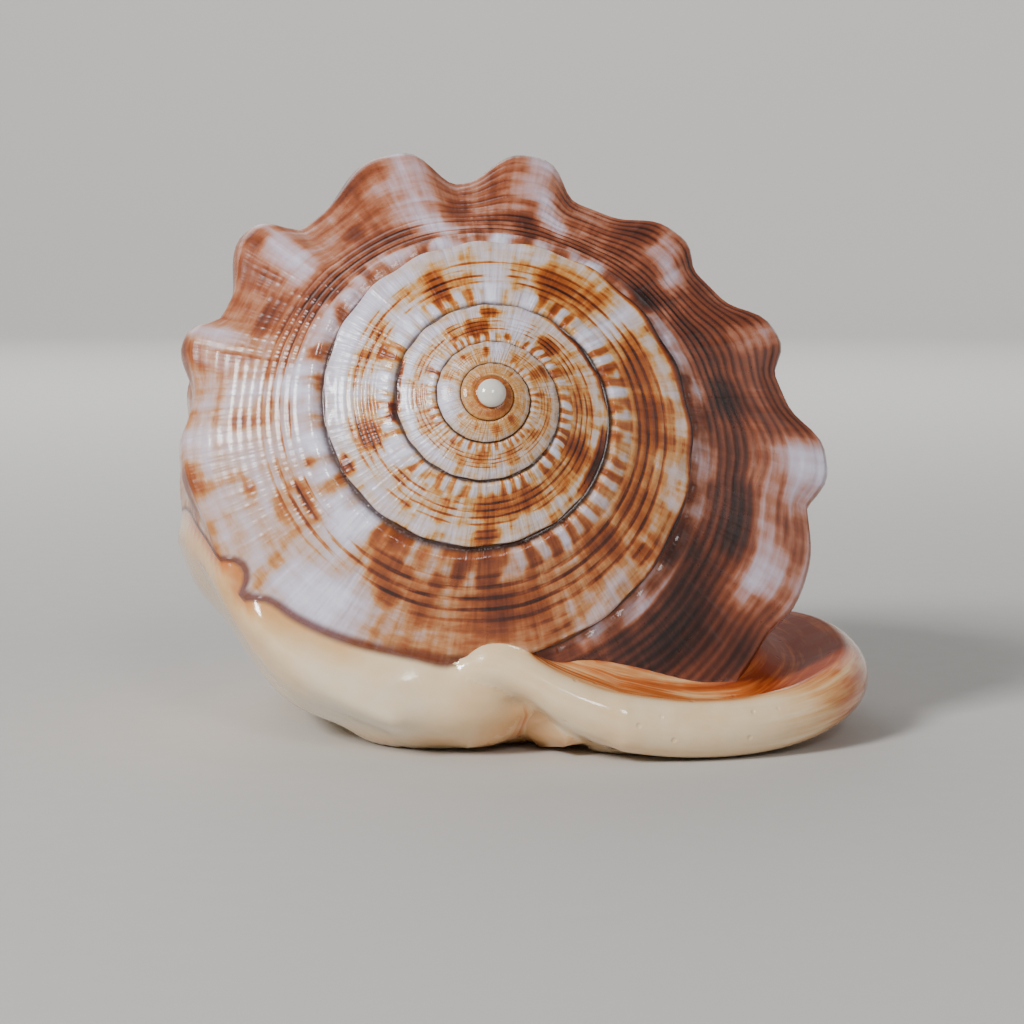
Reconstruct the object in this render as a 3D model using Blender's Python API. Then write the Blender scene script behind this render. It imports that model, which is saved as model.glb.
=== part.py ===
"""Helmet shell (bullmouth helmet), one grown piece, lying on its mouth.

Metres in Blender, millimetres in the constants.  The coiling axis runs from the
apex (low Y, high Z) down to the canal (high Y, low Z).  A point of the shell is
given by its distance from the axis (rho), its angle round the axis (phi, in
degrees, clockwise from the top, seen from the apex) and its distance along the
axis from the apex (h).  theta is the angle of growth: 0 at the lip, negative
going back towards the apex.
"""
import bpy
import numpy as np
from mathutils import Vector

MM = 0.001

# --- coiling -----------------------------------------------------------------
AXIS_TILT = 20.0          # axis below the horizontal, degrees
APEX_Z = 63.0             # height of the apex over the table
PHI_LIP = 170.0           # angle round the axis where the growth stops
SUTURE_RHO = 41.0         # suture radius at the lip
WHORL_RATIO = 1.765       # radius growth in one turn
SUTURE_SLOPE = 0.48       # h / rho along the suture
THETA_START = -1440.0     # first growth station
THETA_STEP = 5.0          # growth step between stations
APEX_RISE = 1.6           # height of the rounded tip over the first whorl

# --- last whorl --------------------------------------------------------------
SHOULDER_THETA = (-360, -320, -260, -200, -172, -144, -112, -89, -70, -51, 0)
SHOULDER_RHO = (47.5, 48.0, 49.0, 48.5, 47.0, 48.0, 51.5, 55.5, 59.0, 60.5, 62.0)
SHOULDER_H = (26.5, 27.0, 27.5, 28.5, 29.0, 29.0, 29.0, 29.0, 29.5, 29.5, 27.5)
RAMP_SHARE = 0.70         # part of the ramp covered by the whorl that follows
SIDE_H = (28.0, 36.0, 46.0, 60.0, 80.0, 100.0, 115.0, 128.0, 138.0, 143.0)
SIDE_RHO = (50.0, 51.6, 52.6, 52.0, 46.5, 37.0, 28.5, 20.5, 14.0, 7.0)
SIDE_FADE_H = 95.0        # where the shoulder no longer shapes the side
CANAL_LENGTH = 143.0      # end of the canal along the axis
CANAL_BEND_H = 118.0      # where the canal starts to turn up
CANAL_BEND = 0.016        # how fast it turns up

# --- knobs -------------------------------------------------------------------
KNOB_PHI = (196, 221, 246, 271, 292, 317, 345, 371, 401, 427, 449, 473, 498, 523)
KNOB_TALL_THETA = (-360, -290, -260, -238, -213, -185, -159, -129, -103, -81, -50, -25, 0)
KNOB_TALL = (0.0, 0.0, 2.4, 4.6, 5.6, 8.4, 7.8, 5.2, 5.0, 4.0, 1.8, 0.6, 0.0)
KNOB_ROWS_H = (30.0, 53.0, 74.0)     # rows of knobs down the side
KNOB_ROWS_SHARE = (1.0, 0.5, 0.28)   # height of each row against the first
KNOB_ROWS_WIDTH = (6.0, 6.0, 5.5)    # half width of each row along h

# --- callus (the glazed shield left of the mouth) -----------------------------
SHIELD_EDGE_PHI = (160.0, 183.0, 196.0, 205.0, 218.0, 229.0, 238.0, 246.0, 254.0,
                   259.0, 262.0, 262.0, 258.0, 250.0, 238.0, 222.0, 200.0, 160.0)
SHIELD_EDGE_H = (21.0, 20.5, 20.5, 21.0, 22.5, 24.5, 26.5, 28.0, 31.0,
                 37.0, 48.0, 65.0, 85.0, 103.0, 118.0, 129.0, 136.0, 139.0)
SHIELD_THICK = 2.4        # callus over the whorl
START_SINK = 1.2          # how far the start of the whorl lies inside its end
FLOOR_H = (0.0, 26.0, 40.0, 90.0, 115.0, 143.0)
FLOOR_Z = (2.5, 1.2, -0.4, -0.4, 1.0, 4.0)
LIP_FLOOR = 4.0           # underside of the whorl where the lip covers it

# --- lip ---------------------------------------------------------------------
# centre line of the rolled edge: x, y, z, roll radius, height of the inner edge
LIP_PATH = (
    (-5.0, 6.6, 14.4, 3.0, 11.0), (-0.6, 5.2, 16.8, 3.8, 10.0), (4.4, 4.2, 16.0, 4.3, 8.6),
    (9.0, 2.6, 12.2, 4.4, 6.5), (12.6, 1.6, 9.2, 4.9, 4.5), (17.0, 0.8, 6.9, 5.2, 3.0),
    (22.5, 0.4, 5.6, 5.2, 2.2), (32.5, 0.6, 4.8, 5.1, 2.0), (43.0, 2.6, 4.9, 5.0, 2.0),
    (53.0, 7.0, 6.4, 5.1, 2.0), (61.0, 14.5, 8.2, 5.2, 2.0), (66.0, 25.0, 9.6, 5.2, 2.0),
    (67.6, 37.0, 11.0, 5.1, 2.0), (66.8, 50.0, 11.8, 5.0, 2.0), (63.5, 64.0, 11.4, 4.9, 2.0),
    (58.0, 78.0, 10.2, 4.8, 2.0), (50.5, 92.0, 8.8, 4.6, 2.2), (41.5, 105.0, 8.2, 4.3, 2.6),
    (32.0, 116.0, 9.0, 4.0, 3.4), (24.0, 124.5, 11.0, 3.7, 4.6), (17.0, 131.5, 14.0, 3.4, 7.0),
    (10.5, 136.5, 17.0, 2.6, 10.0))
# where each station of the lip ends inside the shell: x, y
LIP_INNER = (
    (0.0, 14.0), (3.0, 14.5), (6.5, 15.0), (9.0, 15.5), (10.5, 16.5), (11.5, 18.5),
    (12.0, 21.5), (12.0, 26.5), (12.0, 32.0), (12.0, 38.5), (12.0, 46.0), (12.0, 54.0),
    (12.0, 62.0), (12.0, 70.5), (12.0, 79.5), (12.0, 88.5), (11.5, 98.0), (11.0, 107.0),
    (10.0, 115.0), (9.0, 122.0), (8.0, 128.5), (4.0, 131.5))
LIP_STATIONS = 60
LIP_PLATE = 7.5           # thickness of the lip at the mouth

# --- groove between the shield and the lip -------------------------------------
GROOVE_X = (-2.0, 3.0, 8.0, 12.0, 16.0)
GROOVE_FRONT_TOP = (6.0, 5.2, 4.9, 5.2, 6.5)      # y of the front face at its top
GROOVE_FRONT_LOW = (8.0, 6.6, 6.2, 6.2, 7.0)      # y of the front face at its foot
GROOVE_TOP = (13.0, 13.0, 12.0, 9.0, 7.0)
GROOVE_LOW = 2.4
GROOVE_BACK = 17.0

# --- mouth and chamber -------------------------------------------------------
SLOT_Y = (8.5, 14.0, 24.0, 45.0, 75.0, 100.0, 114.0, 124.0, 150.0)
SLOT_LEFT = (8.0, 6.6, 4.0, 2.2, 2.2, 2.6, 2.6, 2.2, 2.0)
SLOT_RIGHT = (12.6, 13.6, 14.8, 15.4, 15.4, 13.6, 10.8, 8.6, 8.0)
SLOT_TOP = 13.0           # how far up the slot is cut
TOOTH_FIRST_Y = 20.0
TOOTH_PITCH = 4.6
TOOTH_COUNT = 20
TOOTH_RIGHT = 1.5         # height of the teeth on the lip
TOOTH_LEFT = 1.0          # height of the folds on the shield side
NOTCH_X = (8.2, 12.2)     # channel at the front end of the mouth
NOTCH_TOP = 5.0
WALL = 5.5                # shell wall round the chamber
CHAMBER_BACK = -322.0     # growth angle of the inner end of the chamber
CHAMBER_FRONT = 8.0       # growth angle just past the mouth
CHAMBER_STATIONS = 26
CHAMBER_POINTS = 7        # points along each long side of a section

OBJECT_NAME = "helmet_shell"

TILT = np.radians(AXIS_TILT)
AXIS = np.array([0.0, np.cos(TILT), -np.sin(TILT)])
RIGHT = np.array([1.0, 0.0, 0.0])
UP = np.array([0.0, np.sin(TILT), np.cos(TILT)])
APEX = np.array([0.0, 0.0, APEX_Z])


def smooth(x, low, high):
    """Rise from 0 at low to 1 at high, rounded at both ends."""
    t = np.clip((np.asarray(x, float) - low) / (high - low), 0.0, 1.0)
    return t * t * (3.0 - 2.0 * t)


def spline(x, xs, ys):
    """Monotone-friendly cubic through the given points."""
    xs = np.asarray(xs, float)
    ys = np.asarray(ys, float)
    slope = np.gradient(ys, xs)
    x = np.clip(np.asarray(x, float), xs[0], xs[-1])
    i = np.clip(np.searchsorted(xs, x) - 1, 0, len(xs) - 2)
    w = xs[i + 1] - xs[i]
    t = (x - xs[i]) / w
    a = (1 + 2 * t) * (1 - t) ** 2 * ys[i] + t * (1 - t) ** 2 * w * slope[i]
    return a + t * t * (3 - 2 * t) * ys[i + 1] + t * t * (t - 1) * w * slope[i + 1]


def place(rho, phi, h):
    """Point in space (mm) from the three shell measures."""
    a = np.radians(phi)
    across = np.sin(a)[..., None] * RIGHT + np.cos(a)[..., None] * UP
    point = APEX + np.asarray(h)[..., None] * AXIS + np.asarray(rho)[..., None] * across
    bend = CANAL_BEND * np.maximum(np.asarray(h) - CANAL_BEND_H, 0.0) ** 2
    return point + bend[..., None] * UP


def suture(theta):
    rho = SUTURE_RHO * WHORL_RATIO ** (theta / 360.0)
    return rho, SUTURE_SLOPE * rho


def soft_min(a, b, k):
    return -k * np.logaddexp(-a / k, -b / k)


def floor_limit(rho, phi, h):
    """Keep the underside of the whorl on the table, and inside the lip on its side."""
    turn = np.where(np.asarray(phi) > 380.0, np.asarray(phi) - 360.0, phi)
    down = -np.cos(np.radians(phi)) * np.cos(TILT)
    lip_side = 1 - smooth(turn, 157.0, 170.0)
    low = np.interp(h, FLOOR_H, FLOOR_Z)
    low = low + lip_side * np.maximum(LIP_FLOOR - low, 0.0)
    room = APEX_Z - h * np.sin(TILT) - low
    limit = np.where(down > 0.2, room / np.maximum(down, 0.2), 1000.0)
    return soft_min(rho, limit, 1.2)


def knob_wave(phi):
    """1 on a knob, 0 between two of them; phi runs 170..530 on the last whorl."""
    turn = np.interp(phi, KNOB_PHI, np.arange(len(KNOB_PHI)))
    return (0.5 + 0.5 * np.cos(2 * np.pi * turn)) ** 1.4


def shoulder(theta):
    return spline(theta, SHOULDER_THETA, SHOULDER_RHO), spline(theta, SHOULDER_THETA, SHOULDER_H)


def side_radius(theta, h):
    """Radius of the last whorl below the shoulder, before knobs and callus."""
    def one(t):
        extra = shoulder(t)[0] - SIDE_RHO[0]
        return spline(h, SIDE_H, SIDE_RHO) + extra * (1 - smooth(h, SIDE_H[0], SIDE_FADE_H))
    join = (1 - smooth(theta, -360.0, -290.0)) * smooth(h, 30.0, 44.0)
    return one(theta) * (1 - join) + one(np.minimum(theta + 360.0, 0.0)) * join


def shield_depth(phi, h):
    """Signed distance (mm) inside the edge of the callus."""
    scale = np.pi / 180.0 * 50.0
    px = np.asarray(phi, float).ravel() * scale
    ph = np.asarray(h, float).ravel()
    ex = np.array(SHIELD_EDGE_PHI) * scale
    eh = np.array(SHIELD_EDGE_H)
    best = np.full(px.shape, 1e9)
    inside = np.zeros(px.shape, bool)
    count = len(ex)
    for i in range(count):
        x0, y0 = ex[i], eh[i]
        x1, y1 = ex[(i + 1) % count], eh[(i + 1) % count]
        dx, dy = x1 - x0, y1 - y0
        t = np.clip(((px - x0) * dx + (ph - y0) * dy) / (dx * dx + dy * dy), 0, 1)
        best = np.minimum(best, np.hypot(px - x0 - t * dx, ph - y0 - t * dy))
        if dy != 0:
            cross = ((y0 > ph) != (y1 > ph)) & (px < dx * (ph - y0) / dy + x0)
            inside ^= cross
    return np.where(inside, best, -best).reshape(np.shape(phi))


def ramp_point(theta, share, whole_rho, whole_h, edge_drop):
    """Point on the ramp: a stepped groove at the suture, then a shallow bowl."""
    rho0, h0 = suture(theta)
    along_r = whole_rho - rho0
    along_h = whole_h - h0
    length = np.hypot(along_r, along_h)
    rise = 0.055 * smooth(share, 0.0, 0.16) + 0.035 * smooth(share, 0.45, 0.90)
    rise = rise * (1 - edge_drop * smooth(share, 0.90, 1.0))
    rise = rise * smooth(theta, THETA_START, THETA_START + 180.0)
    lift = rise * length
    rho = rho0 + share * along_r + lift * along_h / length
    h = h0 + share * along_h - lift * along_r / length
    return rho, h


def last_whorl(theta, ramp, side):
    """Section of the last whorl: ramp 0..1 to the shoulder, side 0..1 to the canal."""
    phi = theta + PHI_LIP + 360.0
    rho_k, h_k = shoulder(theta)
    rho_r, h_r = ramp_point(theta, ramp, rho_k, h_k, 0.0)
    end_r, end_h = ramp_point(theta, np.ones_like(ramp), rho_k, h_k, 0.0)
    h_s = end_h + (CANAL_LENGTH - end_h) * side
    join = (1 - smooth(theta, -360.0, -290.0)) * smooth(side, 0.0, 0.10)
    other = shoulder(np.minimum(theta + 360.0, 0.0))[1]
    h_s = h_s + join * (other - h_k) * (1 - side)
    start = side_radius(theta, end_h)
    rho_s = side_radius(theta, h_s) + (end_r - start) * (1 - smooth(side, 0.0, 0.12))
    on_side = side > 0
    rho = np.where(on_side, rho_s, rho_r)
    h = np.where(on_side, h_s, h_r)
    wave = knob_wave(phi)
    tall = np.interp(theta, KNOB_TALL_THETA, KNOB_TALL)
    for row_h, part, width in zip(KNOB_ROWS_H, KNOB_ROWS_SHARE, KNOB_ROWS_WIDTH):
        bump = wave * tall * part * np.exp(-((h - row_h) / width) ** 2)
        rho = rho + bump
    return rho, phi, h


def callus(theta, ramp, side, rho, phi, h):
    """Lay the shield over the whorl left of the mouth."""
    turn = np.where(phi > 380.0, phi - 360.0, phi)
    depth = shield_depth(turn, h)
    early = np.where(side > 0, 1.0, (theta < -180.0) * 1.0)
    start = smooth(theta, -360.0, -348.0)
    early = early * np.where(theta < -180.0, start + (1 - start) * smooth(h, 34.0, 44.0), 1.0)
    thick = SHIELD_THICK * smooth(depth, -1.2, 1.2) * early
    lean = 1 - smooth(h, 22.0, 34.0)
    rho = rho + thick * (1 - 0.4 * lean)
    h = h - thick * 0.8 * lean
    return rho, h


def last_whorl_point(theta, ramp, side):
    rho, phi, h = last_whorl(theta, ramp, side)
    rho, h = callus(theta, ramp, side, rho, phi, h)
    rho = floor_limit(rho, phi, h)
    sink = (1 - smooth(theta, -360.0, -344.0)) * (1 - smooth(h, 33.0, 42.0)) * smooth(ramp, 0.72, 0.85)
    rho = rho - START_SINK * sink
    return rho, phi, h


def mesh_from(name, points, faces, shift):
    mesh = bpy.data.meshes.new(name)
    flat = [tuple((Vector(p) - Vector(shift)) * MM) for p in np.asarray(points)]
    mesh.from_pydata(flat, [], [tuple(int(i) for i in f) for f in faces])
    mesh.validate()
    mesh.update()
    return bpy.data.objects.new(name, mesh)


# rows of the grid: up to the following whorl, then out to the shoulder, then down
RAMP_ROWS = (0.0, 0.07, 0.16, 0.45, 0.80, 0.93, 1.0)
OUTER_ROWS = (0.35, 0.70, 1.0)       # share of the ramp left outside the next whorl
SIDE_ROWS = (0.035, 0.07, 0.11, 0.155, 0.20, 0.25, 0.31, 0.37, 0.43, 0.49, 0.56, 0.64,
             0.72, 0.80, 0.87, 0.93, 0.97, 1.0)
JOIN_ROW_SIDE = 5         # side row from which both ends of the whorl are one


def body_grid():
    """The spire and the last whorl as one closed skin."""
    points = []
    faces = []
    stations = np.arange(THETA_START, 0.0 + THETA_STEP / 2, THETA_STEP)
    turn = int(round(360.0 / THETA_STEP))
    first_last = len(stations) - 1 - turn
    rows = len(RAMP_ROWS) - 1
    index = {}

    def add(key, p):
        index[key] = len(points)
        points.append(p)

    spire_share = np.array(RAMP_ROWS)
    for i, theta in enumerate(stations):
        if i <= first_last:
            end_rho, end_h = suture(theta + 360.0)
            rho, h = ramp_point(theta, spire_share, end_rho, end_h, 1.0)
            phi = np.full_like(rho, theta + PHI_LIP)
            xyz = place(rho, phi, h)
            for j in range(rows):
                add((i, j), xyz[j])
        else:
            share = RAMP_SHARE * spire_share
            side = np.zeros_like(share)
            th = np.full_like(share, theta)
            rho, phi, h = last_whorl_point(th, share, side)
            mix = 1 - smooth(theta, -360.0, -330.0)
            if mix > 0:
                end_rho, end_h = suture(0.0)
                rho_a, h_a = ramp_point(th, spire_share, end_rho, end_h, 1.0)
                rho = rho * (1 - mix) + rho_a * mix
                h = h * (1 - mix) + h_a * mix
            xyz = place(rho, phi, h)
            for j in range(rows + 1):
                add((i, j), xyz[j])
    for i in range(first_last + 1):
        index[(i, rows)] = index[(i + turn, 0)]
    outer = RAMP_SHARE + (1 - RAMP_SHARE) * np.array(OUTER_ROWS)
    ramp = np.concatenate([outer, np.ones(len(SIDE_ROWS))])
    side = np.concatenate([np.zeros(len(outer)), np.array(SIDE_ROWS)])
    join_row = rows + len(outer) + JOIN_ROW_SIDE
    total = rows + len(ramp)
    for i in range(first_last, len(stations)):
        theta = stations[i]
        th = np.full_like(ramp, theta)
        rho, phi, h = last_whorl_point(th, ramp, side)
        xyz = place(rho, phi, h)
        for k in range(len(ramp) - 1):
            j = rows + 1 + k
            if i == len(stations) - 1 and j >= join_row:
                index[(i, j)] = index[(first_last, j)]
            else:
                add((i, j), xyz[k])
    pole = place(np.array(0.0), np.array(0.0), np.array(CANAL_LENGTH + 0.6))
    add("pole", pole)
    for i in range(len(stations) - 1):
        last = i >= first_last
        top = total - 1 if last else rows
        for j in range(top):
            faces.append((index[(i, j)], index[(i, j + 1)], index[(i + 1, j + 1)], index[(i + 1, j)]))
        if last:
            faces.append((index[(i, total - 1)], index["pole"], index[(i + 1, total - 1)]))
    end = len(stations) - 1
    rim = [index[(end, j)] for j in range(0, join_row + 1)]
    rim += [index[(first_last, j)] for j in range(join_row - 1, rows, -1)]
    faces.append(tuple(rim))
    loop = [index[(i, 0)] for i in range(0, turn + 1)]
    loop += [index[(0, j)] for j in range(rows - 1, 0, -1)]
    rho_tip = suture(THETA_START)[0] * 0.45
    ring = []
    for n in loop:
        p = np.array(points[n])
        rel = p - APEX
        x, y = rel @ RIGHT, rel @ UP
        r = np.hypot(x, y)
        a = np.degrees(np.arctan2(x, y))
        ring.append(len(points))
        points.append(place(np.array(rho_tip * r / 5.0), np.array(a), np.array(-APEX_RISE * 0.55)))
    tip = len(points)
    points.append(place(np.array(0.0), np.array(0.0), np.array(-APEX_RISE)))
    size = len(loop)
    for k in range(size):
        n = (k + 1) % size
        faces.append((loop[k], loop[n], ring[n], ring[k]))
        faces.append((ring[k], ring[n], tip))
    return np.array(points), [f[::-1] for f in faces]


def along(values, count):
    """Even steps along a control line given as rows of numbers."""
    values = np.asarray(values, float)
    knots = np.arange(len(values))
    dense = np.linspace(0, len(values) - 1, 2001)
    cols = [spline(dense, knots, values[:, c]) for c in range(values.shape[1])]
    line = np.stack(cols, axis=1)
    gap = np.linalg.norm(np.diff(line[:, :3], axis=0), axis=1)
    run = np.concatenate([[0], np.cumsum(gap)])
    want = np.linspace(0, run[-1], count)
    return np.interp(want, run, dense), run[-1]


def sample(values, at):
    values = np.asarray(values, float)
    knots = np.arange(len(values))
    return np.stack([spline(at, knots, values[:, c]) for c in range(values.shape[1])], axis=1)


def outside_body(p):
    """Positive where a point lies outside the side of the last whorl."""
    rel = p - APEX
    h = rel @ AXIS
    x, y = rel @ RIGHT, rel @ UP
    rho = np.hypot(x, y)
    phi = np.degrees(np.arctan2(x, y)) % 360.0
    theta = phi - PHI_LIP
    theta = np.where(theta > 0, theta - 360.0, theta)
    rho_k, h_k = shoulder(theta)
    rho0, h0 = suture(theta)
    radius = floor_limit(side_radius(theta, np.maximum(h, h_k)), phi, np.maximum(h, h_k))
    ramp_h = h0 + (h_k - h0) * np.clip((rho - rho0) / (rho_k - rho0), 0, 1)
    return np.maximum(rho - radius, ramp_h - h)


def lip_loft():
    """Closed loft of the flared lip: roll, underside, brim and web."""
    at, _ = along(np.array(LIP_PATH)[:, :3], LIP_STATIONS)
    path = sample(LIP_PATH, at)
    inner = sample(LIP_INNER, at)
    points = []
    for (x, y, z, r, low), (ix, iy) in zip(path, inner):
        out = np.array([x - ix, y - iy, 0.0])
        width = np.hypot(out[0], out[1])
        out = out / width
        centre = np.array([x, y, z])
        reach = np.linspace(0.0, width, 60)
        probe = centre - reach[:, None] * out + np.array([0, 0, r + 1.0])
        wall = reach[np.argmax(outside_body(probe) < 0)] if np.any(outside_body(probe) < 0) else width * 0.5
        wall = np.clip(wall, 1.2 * r, width - 4.0)
        flat = smooth(low, 9.0, 3.0) if low < 9.0 else 0.0
        contact = (-0.6) * flat + (z - r + 0.4) * (1 - flat)
        contact = np.interp(y, (0, 95, 118, 135), (0, 0, 2.5, 9.0)) * flat + contact
        section = [(width, low + LIP_PLATE), (width, low)]
        section += [(width * 0.72, low * 0.6 + contact * 0.4), (min(width * 0.5, 16.0), contact)]
        section += [(min(width * 0.34, 9.0), contact)]
        for a in np.radians((-70, -100, -135, -170, -205, -240, -268)):
            section.append((r * np.cos(a), z + r * np.sin(a)))
        brim = wall - 1.0
        section += [(0.45 * brim, z + r - 0.3), (0.8 * brim, z + r + 0.9), (wall + 0.5, z + r + 3.6)]
        section += [(min(wall + 3.5, width - 1.0), z + r + 5.0)]
        section += [(min(wall + 5.5, width - 0.5), max(low + LIP_PLATE + 0.5, z + r - 3.0))]
        for a, zz in section:
            points.append(np.array([x, y, 0.0]) - a * out + np.array([0, 0, zz]))
    size = len(points) // len(path)
    faces = []
    for i in range(len(path) - 1):
        for j in range(size):
            k = (j + 1) % size
            faces.append((i * size + j, (i + 1) * size + j, (i + 1) * size + k, i * size + k))
    faces.append(tuple(range(size)))
    faces.append(tuple(range((len(path) - 1) * size + size - 1, (len(path) - 1) * size - 1, -1)))
    return np.array(points), faces


def groove_loft():
    """Callus that joins the end of the shield to the start of the lip."""
    points = []
    for x, top_y, low_y, top in zip(GROOVE_X, GROOVE_FRONT_TOP, GROOVE_FRONT_LOW, GROOVE_TOP):
        mid = (top + GROOVE_LOW) / 2
        points += [np.array([x, GROOVE_BACK, GROOVE_LOW]), np.array([x, low_y, GROOVE_LOW]),
                   np.array([x, (top_y + low_y) / 2 - 0.6, mid]), np.array([x, top_y, top]),
                   np.array([x, GROOVE_BACK, top])]
    size = 5
    faces = []
    for i in range(len(GROOVE_X) - 1):
        for j in range(size):
            k = (j + 1) % size
            faces.append((i * size + j, (i + 1) * size + j, (i + 1) * size + k, i * size + k))
    faces.append(tuple(range(size)))
    faces.append(tuple(range(len(GROOVE_X) * size - 1, (len(GROOVE_X) - 1) * size - 1, -1)))
    return np.array(points), faces


def chamber_loft():
    """The living chamber: a horn that follows the last whorl."""
    points = []
    thetas = np.linspace(CHAMBER_BACK, CHAMBER_FRONT, CHAMBER_STATIONS)
    for theta in thetas:
        open_part = smooth(theta, CHAMBER_BACK - 60.0, -110.0)
        th = min(theta, 0.0)
        rho_k, h_k = shoulder(th)
        top = h_k + 9.0
        low = 62.0 + 58.0 * open_part
        hs = np.linspace(top, low, CHAMBER_POINTS)
        phi = theta + PHI_LIP + 360.0
        full = np.full_like(hs, th)
        out = floor_limit(side_radius(full, hs), np.full_like(hs, phi), hs) - WALL
        t = np.linspace(-1, 1, CHAMBER_POINTS)
        out = out - 5.0 * np.abs(t) ** 3
        room = out * (0.12 + 0.46 * (1 - open_part)) + 3.0 + 2.5 * np.abs(t) ** 3
        room = np.minimum(room, out - 4.0)
        ring = [place(o, np.array(phi), h) for o, h in zip(out, hs)]
        ring += [place(o, np.array(phi), h) for o, h in zip(room[::-1], hs[::-1])]
        points += ring
    size = 2 * CHAMBER_POINTS
    faces = []
    for i in range(CHAMBER_STATIONS - 1):
        for j in range(size):
            k = (j + 1) % size
            faces.append((i * size + j, i * size + k, (i + 1) * size + k, (i + 1) * size + j))
    faces.append(tuple(range(size - 1, -1, -1)))
    faces.append(tuple(range((CHAMBER_STATIONS - 1) * size, CHAMBER_STATIONS * size)))
    return np.array(points), [f[::-1] for f in faces]


def slot_prism():
    """The mouth: a long slot with teeth on the lip and folds on the shield."""
    steps = [SLOT_Y[0], 14.0]
    for n in range(TOOTH_COUNT):
        y = TOOTH_FIRST_Y + n * TOOTH_PITCH
        steps += [y - 0.30 * TOOTH_PITCH, y - 0.12 * TOOTH_PITCH, y + 0.12 * TOOTH_PITCH,
                  y + 0.30 * TOOTH_PITCH]
    steps += [114.0, 124.0, 150.0]
    ys = np.array(sorted(set(steps)))
    wave = np.zeros_like(ys)
    for n in range(TOOTH_COUNT):
        y = TOOTH_FIRST_Y + n * TOOTH_PITCH
        wave = np.maximum(wave, 1.0 * (np.abs(ys - y) < 0.2 * TOOTH_PITCH))
    left = spline(ys, SLOT_Y, SLOT_LEFT) + TOOTH_LEFT * wave
    right = spline(ys, SLOT_Y, SLOT_RIGHT) - TOOTH_RIGHT * wave
    count = len(ys)
    points = []
    for z in (-5.0, SLOT_TOP):
        points += [np.array([x, y, z]) for x, y in zip(left, ys)]
        points += [np.array([x, y, z]) for x, y in zip(right, ys)]
    faces = []
    for i in range(count - 1):
        a, b = i, i + 1
        faces.append((a, b, b + count, a + count))
        faces.append((a + 2 * count, a + 3 * count, b + 3 * count, b + 2 * count))
        faces.append((a, a + 2 * count, b + 2 * count, b))
        faces.append((a + count, b + count, b + 3 * count, a + 3 * count))
    faces.append((0, count, 3 * count, 2 * count))
    e = count - 1
    faces.append((e, e + 2 * count, e + 3 * count, e + count))
    return np.array(points), faces


def box(low, high):
    x0, y0, z0 = low
    x1, y1, z1 = high
    pts = [(x0, y0, z0), (x1, y0, z0), (x1, y1, z0), (x0, y1, z0),
           (x0, y0, z1), (x1, y0, z1), (x1, y1, z1), (x0, y1, z1)]
    faces = [(0, 3, 2, 1), (4, 5, 6, 7), (0, 1, 5, 4), (1, 2, 6, 5), (2, 3, 7, 6), (3, 0, 4, 7)]
    return np.array(pts, float), faces


def clear_scene():
    for item in list(bpy.data.objects):
        bpy.data.objects.remove(item, do_unlink=True)
    for group in list(bpy.data.collections):
        bpy.data.collections.remove(group)


def boolean(target, cutter, kind):
    mod = target.modifiers.new(cutter.name, "BOOLEAN")
    mod.operation = kind
    mod.solver = "EXACT"
    mod.object = cutter
    return mod


def shell_material():
    mat = bpy.data.materials.new("shell")
    mat.use_nodes = True
    bsdf = mat.node_tree.nodes["Principled BSDF"]
    bsdf.inputs["Base Color"].default_value = (0.62, 0.40, 0.26, 1.0)
    bsdf.inputs["Roughness"].default_value = 0.22
    return mat


def build():
    clear_scene()
    parts = bpy.data.collections.new(OBJECT_NAME)
    cutters = bpy.data.collections.new("cutters")
    bpy.context.scene.collection.children.link(parts)
    bpy.context.scene.collection.children.link(cutters)
    body_pts, body_faces = body_grid()
    lip_pts, lip_faces = lip_loft()
    both = np.vstack([body_pts, lip_pts])
    low, high = both.min(axis=0), both.max(axis=0)
    shift = np.array([(low[0] + high[0]) / 2, (low[1] + high[1]) / 2, 0.0])
    shell = mesh_from("shell", body_pts, body_faces, shift)
    parts.objects.link(shell)
    shell.data.materials.append(shell_material())
    tools = [
        ("groove", groove_loft(), "UNION"),
        ("lip", lip_loft(), "UNION"),
        ("chamber", chamber_loft(), "DIFFERENCE"),
        ("mouth_slot", slot_prism(), "DIFFERENCE"),
        ("front_notch", box((NOTCH_X[0], -20.0, -5.0), (NOTCH_X[1], 12.0, NOTCH_TOP)), "DIFFERENCE"),
        ("table_flat", box((-150.0, -150.0, -20.0), (150.0, 250.0, 0.0)), "DIFFERENCE"),
    ]
    for name, (pts, faces), kind in tools:
        cutter = mesh_from(name, pts, faces, shift)
        cutters.objects.link(cutter)
        cutter.hide_render = True
        cutter.display_type = "WIRE"
        boolean(shell, cutter, kind)
    return shell


build()
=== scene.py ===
# %% [markdown]
# # A bullmouth helmet shell
#
# A sea snail builds its house by adding a thin strip to the mouth, again and
# again, each strip a little larger than the one before.  That single habit gives
# the whole form: a cone wound round an axis, with every turn the same shape as
# the last but a fixed number of times larger.  This lesson grows the shell by
# the same rule, then adds the parts that the adult animal builds only once: the
# thick rolled lip, the glazed shield beside the mouth, and the teeth.
#
# The block model of the shell is loaded first.  It fixes the size and the place
# of everything, and nothing here may reach outside its box.

# %% Load the block model
import math

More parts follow.
